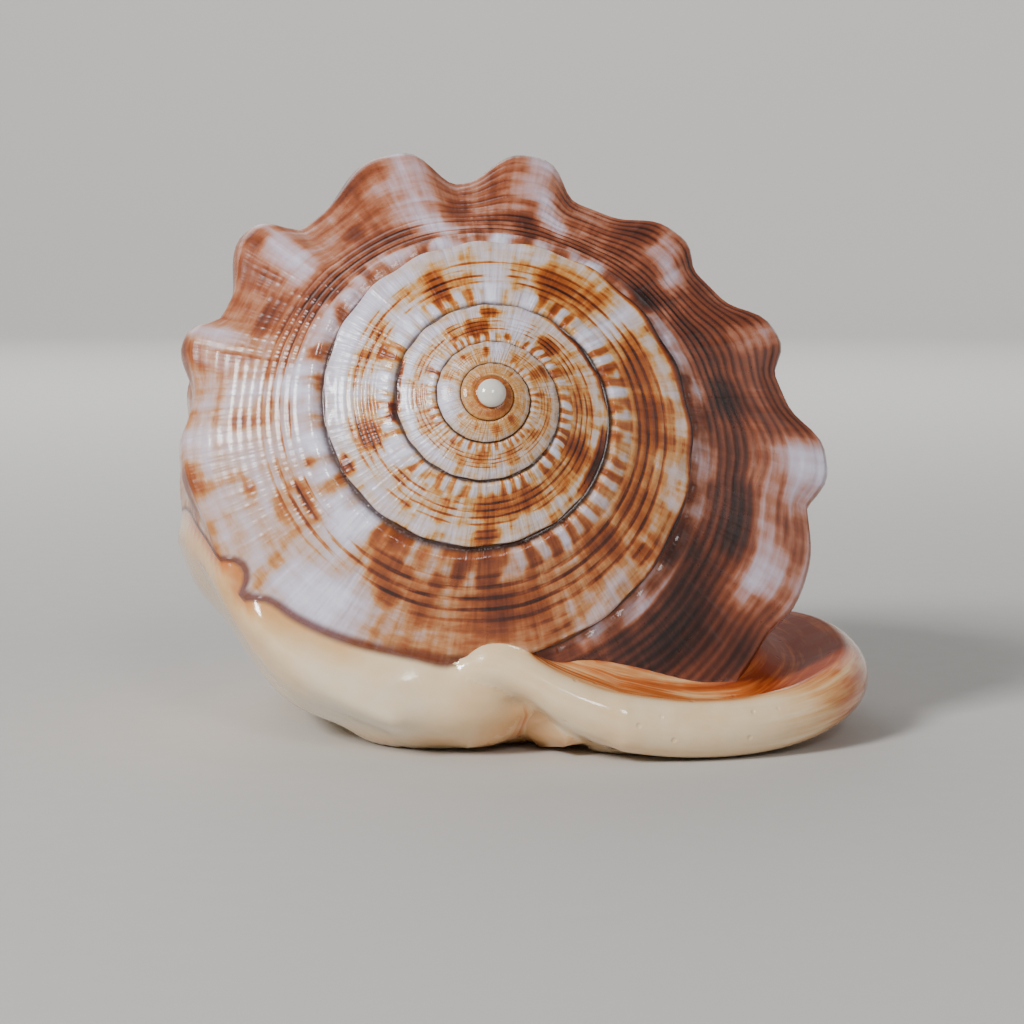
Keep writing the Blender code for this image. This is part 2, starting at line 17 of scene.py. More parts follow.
import bmesh
import bpy
import numpy as np
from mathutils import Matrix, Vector


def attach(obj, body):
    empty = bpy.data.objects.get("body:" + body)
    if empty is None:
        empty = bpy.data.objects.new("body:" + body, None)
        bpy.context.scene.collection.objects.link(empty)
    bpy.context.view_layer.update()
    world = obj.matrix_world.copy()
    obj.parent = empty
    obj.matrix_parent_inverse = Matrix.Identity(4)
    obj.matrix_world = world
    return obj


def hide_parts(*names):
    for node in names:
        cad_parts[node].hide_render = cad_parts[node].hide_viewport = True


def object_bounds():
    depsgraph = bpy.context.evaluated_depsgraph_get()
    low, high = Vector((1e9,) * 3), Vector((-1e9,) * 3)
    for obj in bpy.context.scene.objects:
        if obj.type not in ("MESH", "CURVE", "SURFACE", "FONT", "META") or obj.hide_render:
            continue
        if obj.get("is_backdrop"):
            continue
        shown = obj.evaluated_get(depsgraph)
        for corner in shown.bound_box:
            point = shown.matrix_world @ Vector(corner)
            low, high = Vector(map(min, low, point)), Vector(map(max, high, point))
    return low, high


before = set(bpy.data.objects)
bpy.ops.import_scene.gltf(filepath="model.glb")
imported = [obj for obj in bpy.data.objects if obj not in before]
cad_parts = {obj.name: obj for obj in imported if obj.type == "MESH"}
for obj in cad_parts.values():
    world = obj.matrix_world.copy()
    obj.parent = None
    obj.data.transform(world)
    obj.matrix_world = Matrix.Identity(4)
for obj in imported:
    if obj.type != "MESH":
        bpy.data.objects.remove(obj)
CAD_LOW, CAD_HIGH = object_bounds()
MM = 0.001
print("block model box, mm:", [round(v / MM, 1) for v in (*CAD_LOW, *CAD_HIGH)])

# %% [markdown]
# ## The measures of the coil
#
# Three numbers place any point of the shell: how far it is from the coiling axis
# (rho), how far it has turned round that axis (phi), and how far along the axis
# it lies from the tip (h).  A fourth, theta, is the age of a point, as an angle:
# 0 at the lip, and more negative the older it is.  The axis leans down by 20
# degrees, because the shell lies on its mouth.  All lengths here are millimetres,
# and the last step turns them into metres.

# %% Measures of the coil
AXIS_TILT = 20.0          # axis below the horizontal, degrees
APEX_Z = 63.0             # height of the tip over the table
PHI_LIP = 170.0           # angle round the axis where growth stopped
SUTURE_RHO = 41.0         # radius of the seam between whorls at the lip
WHORL_RATIO = 1.765       # how much larger each turn is
SUTURE_SLOPE = 0.48       # h / rho along the seam
THETA_START = -2160.0     # where growth starts, six turns before the lip
THETA_STEP = 1.5          # one strip of growth, degrees
TURN = int(round(360.0 / THETA_STEP))

SHOULDER_THETA = (-360, -320, -260, -200, -172, -144, -112, -89, -70, -51, 0)
SHOULDER_RHO = (47.5, 48.0, 48.8, 47.6, 46.9, 48.0, 51.5, 55.5, 59.0, 60.5, 62.0)
SHOULDER_H = (26.5, 27.0, 27.5, 28.5, 29.0, 29.0, 29.0, 29.0, 29.5, 29.5, 27.5)
COVERED = 0.70            # share of the last ramp that the next turn would cover
SIDE_H = (28.0, 36.0, 46.0, 60.0, 80.0, 100.0, 115.0, 128.0, 138.0, 143.0)
SIDE_RHO = (50.0, 51.6, 52.6, 52.0, 46.5, 37.0, 28.5, 20.5, 14.0, 7.0)
SIDE_FADE_H = 95.0        # below here the shoulder's growth isn't felt
CANAL_LENGTH = 143.0      # h of the shell's far end
CANAL_BEND_H = 118.0      # past this h the canal turns up
CANAL_BEND = 0.016        # how sharply it does

TILT = math.radians(AXIS_TILT)
AXIS = np.array([0.0, math.cos(TILT), -math.sin(TILT)])
RIGHT = np.array([1.0, 0.0, 0.0])
UP = np.array([0.0, math.sin(TILT), math.cos(TILT)])
APEX = np.array([0.0, 0.0, APEX_Z])


print("axis of the shell:", AXIS.round(3))

# %% Smooth steps and curves
def smooth(x, low, high):
    """Rise from 0 at low to 1 at high, rounded at both ends."""
    t = np.clip((np.asarray(x, float) - low) / (high - low), 0.0, 1.0)
    return t * t * (3.0 - 2.0 * t)


def spline(x, xs, ys):
    """Smooth curve through the given points."""
    xs = np.asarray(xs, float)
    ys = np.asarray(ys, float)
    slope = np.gradient(ys, xs)
    x = np.clip(np.asarray(x, float), xs[0], xs[-1])
    i = np.clip(np.searchsorted(xs, x) - 1, 0, len(xs) - 2)
    w = xs[i + 1] - xs[i]
    t = (x - xs[i]) / w
    a = (1 + 2 * t) * (1 - t) ** 2 * ys[i] + t * (1 - t) ** 2 * w * slope[i]
    return a + t * t * (3 - 2 * t) * ys[i + 1] + t * t * (t - 1) * w * slope[i + 1]


def soft_min(a, b, k):
    """The smaller of two values, with the corner rounded over k."""
    return -k * np.logaddexp(-a / k, -b / k)


print("half way up a smooth step:", float(smooth(0.5, 0.0, 1.0)))

# %% From shell measures to points and back
def suture(theta):
    """Radius and height of the seam between whorls."""
    rho = SUTURE_RHO * WHORL_RATIO ** (np.asarray(theta, float) / 360.0)
    return rho, SUTURE_SLOPE * rho


def place(rho, phi, h):
    """Point in space, mm, from the three shell measures."""
    a = np.radians(phi)
    across = np.sin(a)[..., None] * RIGHT + np.cos(a)[..., None] * UP
    point = APEX + np.asarray(h)[..., None] * AXIS + np.asarray(rho)[..., None] * across
    bend = CANAL_BEND * np.maximum(np.asarray(h) - CANAL_BEND_H, 0.0) ** 2
    return point + bend[..., None] * UP


def measures(p):
    """The three shell measures of points in space, mm."""
    rel = p - APEX
    h = rel @ AXIS
    x, y = rel @ RIGHT, rel @ UP
    y = y - CANAL_BEND * np.maximum(h - CANAL_BEND_H, 0.0) ** 2
    return np.hypot(x, y), np.degrees(np.arctan2(x, y)) % 360.0, h


print("seam radius at the lip and after each turn back, mm:",
      [round(float(suture(-360.0 * k)[0]), 1) for k in range(6)])

# %% [markdown]
# ## Section of the whorl
#
# A flattish ramp runs from the seam out to the shoulder.  Below the shoulder the
# side drops to the canal.  A ring of blunt knobs sits on the shoulder, and two
# weaker rings lie further down.  The underside is pressed flat, since the animal
# carries the shell close to the sand, and here it rests on the table.

# %% Measures of the section
KNOBS = (       # angle round the axis, height, reach on its old side, on its young side
    (266.0, 2.0, 9.0, 8.0), (290.5, 4.8, 7.0, 4.0), (314.5, 6.7, 9.0, 5.4),
    (345.0, 7.6, 12.5, 8.8), (372.0, 7.0, 8.2, 8.6), (403.0, 4.1, 7.0, 7.6),
    (429.0, 4.6, 5.2, 6.8), (452.5, 4.6, 5.2, 8.0), (474.0, 2.6, 9.0, 9.0),
    (498.0, 0.9, 9.0, 9.0))
KNOB_ROWS_H = (30.0, 53.0, 74.0)
KNOB_ROWS_SHARE = (1.0, 0.5, 0.28)
KNOB_ROWS_WIDTH = (6.0, 6.0, 5.5)
FLOOR_H = (0.0, 26.0, 40.0, 90.0, 115.0, 143.0)   # at these h the underside reaches
FLOOR_Z = (2.5, 1.2, -0.4, -0.4, 1.0, 4.0)        # down to this height over the table
LIP_FLOOR = 4.0           # the whorl stays this high over the table inside the lip
GROOVE_WIDE = 0.045       # share of the ramp taken by the drop into the seam
FAR_OFF = 9.0             # place on a knob, where no knob is near


print("knobs on the shoulder:", len(KNOBS))

# %% The flat underside
def floor_limit(rho, phi, h):
    """Keep the underside on the table, and inside the lip on its side."""
    turn = np.where(np.asarray(phi) > 380.0, np.asarray(phi) - 360.0, phi)
    down = -np.cos(np.radians(phi)) * math.cos(TILT)
    lip_side = 1 - smooth(turn, 157.0, 170.0)
    low = spline(h, FLOOR_H, FLOOR_Z)
    low = low + lip_side * np.maximum(LIP_FLOOR - low, 0.0)
    room = APEX_Z - h * math.sin(TILT) - low
    limit = np.where(down > 0.2, room / np.maximum(down, 0.2), 1000.0)
    return soft_min(rho, limit, 1.2)


print("radius left over the table at h 60, mm:",
      round(float(floor_limit(99.0, 540.0, 60.0)), 1))

# %% Knobs
def knob_shape(phi):
    """Height of the nearest knob, mm, and the place on it: below 0 on its old side."""
    height, along = np.zeros_like(phi), np.full_like(phi, FAR_OFF)
    for middle, tall, before, after in KNOBS:
        old = phi < middle
        spot = (phi - middle) / np.where(old, before, after)
        here = tall * np.exp(-np.abs(spot) ** np.where(old, 2.6, 4.0))
        along = np.where(here > height, spot, along)
        height = np.maximum(height, here)
    return height, along


print("tallest knob, mm:", max(tall for _, tall, _, _ in KNOBS))

# %% Shoulder and side
def shoulder(theta):
    """Radius and height of the shoulder at an age."""
    return spline(theta, SHOULDER_THETA, SHOULDER_RHO), spline(theta, SHOULDER_THETA, SHOULDER_H)


def side_radius(theta, h):
    """Radius of the last whorl below the shoulder, before the knobs."""
    def one(t):
        extra = shoulder(t)[0] - SIDE_RHO[0]
        return spline(h, SIDE_H, SIDE_RHO) + extra * (1 - smooth(h, SIDE_H[0], SIDE_FADE_H))
    join = (1 - smooth(theta, -360.0, -290.0)) * smooth(h, 30.0, 44.0)
    return one(theta) * (1 - join) + one(np.minimum(theta + 360.0, 0.0)) * join


print("shoulder at the lip, mm from the axis:", float(shoulder(0.0)[0]))

# %% The ramp
def ramp_point(theta, share, whole_rho, whole_h, edge_drop):
    """Point on the ramp: a stepped seam, then a shallow bowl up to the rim."""
    rho0, h0 = suture(theta)
    out_rho = whole_rho - rho0
    out_h = whole_h - h0
    length = np.hypot(out_rho, out_h)
    young = 1 - smooth(theta, -1260.0, -900.0)
    foot = 0.055 * (1 - 0.8 * smooth(theta, -230.0, -130.0))
    rise = foot * smooth(share, 0.0, 0.085) + 0.035 * smooth(share, 0.40, 0.90)
    rise = rise + 0.10 * young * np.sin(np.pi * np.clip(share, 0, 1)) ** 0.7
    rise = rise * (1 - edge_drop * smooth(share, 1.0 - GROOVE_WIDE, 1.0))
    lift = rise * length
    rho = rho0 + share * out_rho + lift * out_h / length
    h = h0 + share * out_h - lift * out_rho / length
    return rho, h


print("middle of the ramp at the lip, rho and h:",
      [round(float(v), 1) for v in ramp_point(0.0, 0.5, 62.0, 27.5, 0.0)])

# %% The last whorl
def last_whorl(theta, ramp, side):
    """Last whorl: ramp 0..1 to the shoulder, then side 0..1 to the canal."""
    phi = theta + PHI_LIP + 360.0
    rho_k, h_k = shoulder(theta)
    rho_r, h_r = ramp_point(theta, ramp, rho_k, h_k, 0.0)
    end_r, end_h = ramp_point(theta, np.ones_like(ramp), rho_k, h_k, 0.0)
    h_s = end_h + (CANAL_LENGTH - end_h) * side
    join = (1 - smooth(theta, -360.0, -290.0)) * smooth(side, 0.0, 0.10)
    other = shoulder(np.minimum(theta + 360.0, 0.0))[1]
    h_s = h_s + join * (other - h_k) * (1 - side)
    start = side_radius(theta, end_h)
    rho_s = side_radius(theta, h_s) + (end_r - start) * (1 - smooth(side, 0.0, 0.12))
    rho = np.where(side > 0, rho_s, rho_r)
    h = np.where(side > 0, h_s, h_r)
    return rho, phi, h


def knob_height(phi, h):
    """How far the knobs stand out from the whorl, mm."""
    rows = np.zeros_like(h)
    for row_h, part, width in zip(KNOB_ROWS_H, KNOB_ROWS_SHARE, KNOB_ROWS_WIDTH):
        rows = rows + part * np.exp(-((h - row_h) / width) ** 2)
    return knob_shape(phi)[0] * rows


print("knob height where the tallest knob stands, mm:",
      round(float(knob_height(np.array([345.0]), np.array([30.0]))[0]), 1))

# %% [markdown]
# ## The glazed shield
#
# When the snail is full grown it spreads a thick sheet of porcelain over the old
# shell beside its mouth.  Its edge is a wandering line, drawn here as a ring of
# points on the unrolled whorl.  The distance to that line says how deep inside
# the shield a point lies, and the glaze thickens with that depth.

# %% Depth inside the shield
SHIELD_EDGE_PHI = (160.0, 183.0, 190.0, 197.0, 205.0, 218.0, 225.0, 231.0, 235.5, 238.5,
                   242.0, 246.0, 250.5, 255.0, 259.0, 262.0, 262.0, 258.0, 250.0, 238.0,
                   222.0, 200.0, 160.0)
SHIELD_EDGE_H = (21.0, 20.6, 20.9, 20.9, 21.4, 22.6, 23.3, 23.9, 25.5, 24.2,
                 24.4, 27.2, 31.0, 35.5, 41.0, 50.0, 65.0, 85.0, 103.0, 118.0,
                 129.0, 136.0, 139.0)
SHIELD_THICK = 2.4        # glaze over the whole shield, mm
SHIELD_BELLY_PHI = (160.0, 165.0, 168.0, 171.5, 176.0, 182.0, 190.0, 205.0, 216.0, 226.0,
                    238.0, 250.0, 257.0)
SHIELD_BELLY = (1.0, 1.4, 2.4, 4.6, 6.4, 6.5, 6.0, 6.0, 5.1, 3.4, 1.7, 0.4, 0.0)
SHIELD_SLIM = 2.3         # how much the far left is drawn in
SHIELD_TUCK = 6.2         # how much the lower left is drawn in, round TUCK_PHI
TUCK_PHI, TUCK_WIDE = 203.5, 12.0
START_SINK = 1.2          # the last whorl starts this far inside the shield
BARE, GLAZED = -6.0, 6.0  # depth where there is no glaze, and where it is all glaze
UNROLL_RHO = 50.0         # the whorl is unrolled at this radius


def shield_depth(phi, h):
    """Signed distance, mm, inside the edge of the shield."""
    scale = np.pi / 180.0 * UNROLL_RHO
    px = np.asarray(phi, float).ravel() * scale
    ph = np.asarray(h, float).ravel()
    knots = np.arange(len(SHIELD_EDGE_PHI))
    fine = np.linspace(0, len(SHIELD_EDGE_PHI) - 1, 120)
    ex = spline(fine, knots, SHIELD_EDGE_PHI) * scale
    eh = spline(fine, knots, SHIELD_EDGE_H)
    best = np.full(px.shape, 1e9)
    inside = np.zeros(px.shape, bool)
    count = len(ex)
    for i in range(count):
        x0, y0 = ex[i], eh[i]
        x1, y1 = ex[(i + 1) % count], eh[(i + 1) % count]
        dx, dy = x1 - x0, y1 - y0
        t = np.clip(((px - x0) * dx + (ph - y0) * dy) / (dx * dx + dy * dy), 0, 1)
        best = np.minimum(best, np.hypot(px - x0 - t * dx, ph - y0 - t * dy))
        if dy != 0:
            inside ^= ((y0 > ph) != (y1 > ph)) & (px < dx * (ph - y0) / dy + x0)
    return np.where(inside, best, -best).reshape(np.shape(phi))


print("depth in the middle of the shield, mm:",
      round(float(shield_depth(210.0, 70.0)), 1))

# %% Thickness of the shield
def callus(theta, side, rho, phi, h):
    """Lay the shield over the whorl left of the mouth."""
    turn = np.where(phi > 380.0, phi - 360.0, phi)
    depth = shield_depth(turn, h)
    early = np.where(side > 0, 1.0, (theta < -180.0) * 1.0)
    start = smooth(theta, -360.0, -348.0)
    early = early * np.where(theta < -180.0, start + (1 - start) * smooth(h, 34.0, 44.0), 1.0)
    soft = 0.9 + 2.1 * smooth(turn, 240.0, 250.0)
    thick = SHIELD_THICK * smooth(depth / soft, -0.35, 1.6) * early
    lean = 1 - smooth(h, 22.0, 34.0)
    belly = spline(turn, SHIELD_BELLY_PHI, SHIELD_BELLY) * (1 - smooth(h, 26.0, 66.0))
    belly = belly * (1 - np.exp(-np.maximum(depth, 0.0) / 4.6)) * early
    slim = SHIELD_SLIM * smooth(turn, 186.0, 198.0) * (1 - smooth(turn, 238.0, 252.0))
    slim = slim * smooth(h, 28.0, 42.0) * (1 - smooth(h, 62.0, 90.0))
    tuck = SHIELD_TUCK * np.exp(-((turn - TUCK_PHI) / TUCK_WIDE) ** 2)
    tuck = tuck * smooth(h, 20.0, 46.0)
    slim = slim + tuck * (1 - smooth(h, 60.0, 84.0)) * early
    out = rho + thick * (1 - 0.4 * lean) + belly - slim
    return out, h - (0.8 * thick + 0.12 * belly) * lean, depth


print("shield edge is", len(SHIELD_EDGE_PHI), "points round")

# %% [markdown]
# ## The sheet that grows
#
# A sheet of points carries the recipe, with no place in space yet: how many turns
# old each point is, and its place in the section divided by the size of the
# animal at that age.  In those units every early whorl has the same section,
# which is what makes the spiral.  The sheet could be placed here in Python, but a
# Geometry Nodes tree keeps the rule in view, with its sizes as named inputs.

# %% Rows of the sheet
ROWS_BY_TURN = {-6: 8, -5: 14, -4: 24, -3: 40, -2: 64, -1: 64}
OUTER_ROWS = 14
SIDE_ROWS = 54
JOIN_H = 44.5             # from here down both ends of the last whorl are one
SIDE_ACROSS = 7.0         # what the side adds to the across measure


def row_shares(count):
    """Places of the rows on a ramp: close together at the seam and the rim."""
    foot = [0.0, 0.015, 0.035, 0.060, 0.085]
    rim = [0.955, 0.968, 0.980, 0.990, 1.0]
    if count < 30:
        return np.linspace(0.0, 1.0, count + 1)
    middle = np.linspace(foot[-1], rim[0], count - 7)
    return np.array(foot[:-1] + list(middle) + rim[1:])


def rows_at(theta):
    """Places of the rows at an age: the young turns have fewer."""
    turn = int(math.floor(theta / 360.0 + 1e-6))
    return row_shares(ROWS_BY_TURN[min(max(turn, -6), -1)])


print("rows on the ramps, oldest turn first:",
      [len(rows_at(360.0 * turn)) for turn in range(-6, 0)])

# %% A sheet of points and one section of it
class Sheet:
    """Points, faces and the measures that each point carries."""

    def __init__(self):
        self.rho, self.theta, self.h = [], [], []
        self.across, self.glaze, self.knob, self.edge = [], [], [], []
        self.faces, self.corners = [], []
        self.index = {}

    def add(self, key, theta, rho, h, across, glaze=BARE, knob=0.0, edge=0.0):
        self.index[key] = len(self.rho)
        for store, value in ((self.rho, rho), (self.theta, theta), (self.h, h),
                             (self.across, across), (self.glaze, glaze),
                             (self.knob, knob), (self.edge, edge)):
            store.append(float(value))

    def face(self, keys, turns):
        """keys name the points; turns gives each corner its own age and place."""
        self.faces.append([self.index[k] for k in keys][::-1])
        self.corners.append(list(turns)[::-1])


def seam_blend(theta):
    """1 where the seam to the next turn is open, 0 where there is none."""
    return 1 - smooth(theta, -360.0, -330.0)


def last_section(theta, ramp, side):
    """Ramp and side of the last whorl at one age, with shield, floor and knobs."""
    th = np.full_like(ramp, theta)
    rho, phi, h = last_whorl(th, ramp, side)
    knob = knob_height(phi, h)
    rho, h, depth = callus(th, side, rho + knob, phi, h)
    rho = floor_limit(rho, phi, h)
    sink = (1 - smooth(theta, -360.0, -344.0)) * (1 - smooth(h, 33.0, 42.0))
    rho = rho - START_SINK * sink * smooth(ramp, 0.72, 0.85)
    depth = np.where((side > 0) | (theta < -180.0), depth, BARE)
    return rho, h, np.clip(depth, BARE, GLAZED), knob


print("seam open at the start of the last whorl:", float(seam_blend(-360.0)))

# %% Stations of growth and rows of the outer side
STATIONS = np.arange(THETA_START, THETA_STEP / 2, THETA_STEP)
LAST_START = len(STATIONS) - 1 - TURN     # the station where the last whorl starts
SIDE_SPREAD = 1.12        # rows of the side lie closer together near the shoulder

outer = COVERED + (1 - COVERED) * np.linspace(0, 1, OUTER_ROWS + 1)[1:]
side = np.linspace(0, 1, SIDE_ROWS + 1)[1:] ** SIDE_SPREAD
RAMP_OUT = np.concatenate([outer, np.ones(SIDE_ROWS)])
SIDE_OUT = np.concatenate([np.zeros(OUTER_ROWS), side])
RAMP_ACROSS = row_shares(ROWS_BY_TURN[-1])
ACROSS_OUT = np.concatenate([outer / COVERED, 1 / COVERED + side * SIDE_ACROSS])
RAMP_END = len(RAMP_ACROSS) - 1           # rows from here on belong to the outer side
print("stations:", len(STATIONS), "rows in the last whorl:", RAMP_END + len(RAMP_OUT))


# %% Points of the sheet
def add_covered_ramp(sheet, i, theta):
    """A ramp that ends at the seam of the next turn."""
    shares = rows_at(theta)
    end_rho, end_h = suture(theta + 360.0)
    rho, h = ramp_point(theta, shares, end_rho, end_h, 1.0)
    for j in range(len(shares) - 1):
        sheet.add((i, j), theta, rho[j], h[j], shares[j], edge=1.0)


def add_open_ramp(sheet, i, theta):
    """A ramp of the last whorl, which no turn covers."""
    shares = rows_at(theta)
    rho, h, depth, knob = last_section(theta, COVERED * shares, np.zeros_like(shares))
    mix = seam_blend(theta)
    if mix > 0:
        end_rho, end_h = suture(0.0)
        rho_a, h_a = ramp_point(theta, shares, end_rho, end_h, 1.0)
        rho = rho * (1 - mix) + rho_a * mix
        h = h * (1 - mix) + h_a * mix
    for j in range(len(shares)):
        sheet.add((i, j), theta, rho[j], h[j], shares[j], depth[j], knob[j], mix)


def add_outer_side(sheet, join_row):
    """Points from the ramp over the shoulder to the canal."""
    for i in range(LAST_START, len(STATIONS)):
        theta = STATIONS[i]
        rho, h, depth, knob = last_section(theta, RAMP_OUT, SIDE_OUT)
        for k in range(len(RAMP_OUT) - 1):
            key = (i, RAMP_END + 1 + k)
            if i == len(STATIONS) - 1 and k >= join_row:
                sheet.index[key] = sheet.index[(LAST_START, RAMP_END + 1 + k)]
            else:
                sheet.add(key, theta, rho[k], h[k], ACROSS_OUT[k], depth[k], knob[k])
    sheet.add("pole", 0.0, 0.0, CANAL_LENGTH + 0.6, ACROSS_OUT[-1])


# %% Faces of the sheet
def face_last_strip(sheet, i, ta, tb):
    """One strip of the last whorl, from the seam to the canal's end."""
    across = np.concatenate([RAMP_ACROSS, ACROSS_OUT])
    end = RAMP_END + len(RAMP_OUT) - 1
    for j in range(end):
        a, b = across[j], across[j + 1]
        sheet.face([(i, j), (i, j + 1), (i + 1, j + 1), (i + 1, j)],
                   [(ta, a), (ta, b), (tb, b), (tb, a)])
    a = across[end]
    sheet.face([(i, end), "pole", (i + 1, end)], [(ta, a), (ta, a), (tb, a)])


def face_ramp_strip(sheet, i, ta, tb):
    """One strip of an older ramp, whose two sides may have different numbers of rows."""
    left, right = rows_at(STATIONS[i]), rows_at(STATIONS[i + 1])
    if len(left) == len(right):
        for j in range(len(left) - 1):
            sheet.face([(i, j), (i, j + 1), (i + 1, j + 1), (i + 1, j)],
                       [(ta, left[j]), (ta, left[j + 1]), (tb, left[j + 1]), (tb, left[j])])
        return
    ja = jb = 0
    while ja < len(left) - 1 or jb < len(right) - 1:
        next_a = left[ja + 1] if ja < len(left) - 1 else math.inf
        next_b = right[jb + 1] if jb < len(right) - 1 else math.inf
        if next_a <= next_b:
            sheet.face([(i, ja), (i, ja + 1), (i + 1, jb)],
                       [(ta, left[ja]), (ta, left[ja + 1]), (tb, right[jb])])
            ja += 1
        else:
            sheet.face([(i, ja), (i + 1, jb + 1), (i + 1, jb)],
                       [(ta, left[ja]), (tb, right[jb + 1]), (tb, right[jb])])
            jb += 1


def close_mouth(sheet, join_row):
    """Fill the plane where the last strip of growth stops."""
    end = len(STATIONS) - 1
    rim = [(end, j) for j in range(RAMP_END + 1 + join_row + 1)]
    rim += [(LAST_START, j) for j in range(RAMP_END + join_row, RAMP_END, -1)]
    sheet.face(rim, [(0.0, 1.0)] * len(rim))


# %% Close the tip
TIP_RINGS = ((1.2, 0.45), (0.7, 0.2))     # radius and height of rings inside the first turn
TIP_TOP = 0.1
TIP_SWEEP = 320.0         # the seam's first turn takes this much of the tip's circle


def close_tip(sheet):
    """Close the first turn with rings and a top point."""
    rows = len(rows_at(STATIONS[0])) - 1
    loop = [(i, 0) for i in range(TURN + 1)] + [(0, j) for j in range(rows - 1, 0, -1)]
    angle = [TIP_SWEEP * i / TURN for i in range(TURN + 1)]
    rest = 360.0 - TIP_SWEEP
    angle += [TIP_SWEEP + rest * (k + 1) / rows for k in range(rows - 1)]
    before = loop
    for n, (radius, height) in enumerate(TIP_RINGS):
        ring = []
        for k, a in enumerate(angle):
            theta = THETA_START + a
            key = ("tip", n, k)
            sheet.add(key, theta, radius, height, -0.15 * (n + 1))
            ring.append(key)
        va, vb = -0.15 * n, -0.15 * (n + 1)
        for k in range(len(loop)):
            m = (k + 1) % len(loop)
            t0 = (THETA_START + angle[k]) / 360.0
            t1 = (THETA_START + (angle[m] if m else 360.0)) / 360.0
            sheet.face([before[k], before[m], ring[m], ring[k]],
                       [(t0, va), (t1, va), (t1, vb), (t0, vb)])
        before = ring
    sheet.add("top", THETA_START, 0.0, TIP_TOP, -1.0)
    for k in range(len(loop)):
        m = (k + 1) % len(loop)
        t0 = (THETA_START + angle[k]) / 360.0
        sheet.face([before[k], before[m], "top"], [(t0, -0.3), (t0, -0.3), (t0, -0.4)])


# %% Grow the sheet
def grow_sheet():
    """Ramps of every turn, then the outer side of the last one, then the faces."""
    sheet = Sheet()
    for i, theta in enumerate(STATIONS):
        add = add_covered_ramp if i <= LAST_START else add_open_ramp
        add(sheet, i, theta)
    for i in range(LAST_START + 1):
        sheet.index[(i, len(rows_at(STATIONS[i])) - 1)] = sheet.index[(i + TURN, 0)]
    join_row = int(np.argmax(last_section(0.0, RAMP_OUT, SIDE_OUT)[1] > JOIN_H))
    add_outer_side(sheet, join_row)
    for i in range(len(STATIONS) - 1):
        face = face_last_strip if i >= LAST_START else face_ramp_strip
        face(sheet, i, STATIONS[i] / 360.0, STATIONS[i + 1] / 360.0)
    close_mouth(sheet, join_row)
    close_tip(sheet)
    return sheet


sheet = grow_sheet()
print("sheet:", len(sheet.rho), "points,", len(sheet.faces), "faces")

# %% [markdown]
# ## Sheet into mesh
#
# The sheet becomes a flat mesh whose points carry their measures as attributes.
# The corners of the faces carry age and place across the ramp as well, since a
# point on a seam belongs to two turns at once and needs a value for each.

# %% Mesh with attributes
def put_attribute(mesh, name, domain, values):
    made = mesh.attributes.new(name, "FLOAT", domain)
    made.data.foreach_set("value", np.asarray(values, dtype=np.float32))


def sheet_mesh(sheet):
    """The sheet as a mesh, with how strong each kind of relief is at each point."""
    mesh = bpy.data.meshes.new("whorls")
    count = len(sheet.rho)
    mesh.from_pydata([(0.0, 0.0, 0.0)] * count, [], sheet.faces)
    theta = np.array(sheet.theta)
    scale = SUTURE_RHO * WHORL_RATIO ** (theta / 360.0)
    put_attribute(mesh, "age", "POINT", theta / 360.0)
    put_attribute(mesh, "out", "POINT", np.array(sheet.rho) / scale)
    put_attribute(mesh, "along", "POINT", np.array(sheet.h) / scale)
    put_attribute(mesh, "row", "POINT", sheet.across)
    across, glaze, edge = np.array(sheet.across), np.array(sheet.glaze), np.array(sheet.edge)
    size = scale / SUTURE_RHO
    bare = 1 - smooth(glaze, -2.0, -0.6)
    ends = smooth(-theta, 0.0, 12.0) * np.where(across > 1, smooth(theta, -360.0, -350.0), 1.0)
    rim = 1 - edge * smooth(across, 0.80, 0.90)
    low_side = 0.45 + 0.55 * (1 - smooth(across, 1.3, 1.6))
    worn = 1 - 0.75 * smooth(across, 0.45, 0.80) * (1 - smooth(theta, -190.0, -150.0))
    worn = worn * (1 - 0.9 * smooth(theta, -110.0, -30.0))
    cord = smooth(across, 0.17, 0.30) * rim * bare * ends * low_side * np.minimum(size * 1.3, 1)
    cord = cord * worn
    bead = smooth(across, 0.03, 0.10) * (1 - smooth(across, 0.15, 0.27)) * bare * ends * size
    wave = edge * smooth(across, 0.80, 0.93) * (1 - smooth(across, 0.955, 1.0)) * size
    put_attribute(mesh, "cord", "POINT", cord)
    put_attribute(mesh, "bead", "POINT", bead * (across >= 0))
    put_attribute(mesh, "rim", "POINT", wave)
    flat = [c for face in sheet.corners for c in face]
    put_attribute(mesh, "turns", "CORNER", [c[0] for c in flat])
    put_attribute(mesh, "across", "CORNER", [c[1] for c in flat])
    corner_point = np.zeros(len(mesh.loops), dtype=np.int32)
    mesh.loops.foreach_get("vertex_index", corner_point)
    put_attribute(mesh, "glaze", "CORNER", glaze[corner_point])
    put_attribute(mesh, "inner", "CORNER", np.zeros(len(corner_point)))
    return mesh


# %% [markdown]
# ## Growing the whorls with Geometry Nodes
#
# The tree does what the animal does.  The size grows by the same ratio in every
# turn, the section is set at that size, and it is turned round the axis by its
# age.  A second step raises the cords, the beads beside the seam and the wavy rim
# along the surface's own normal.

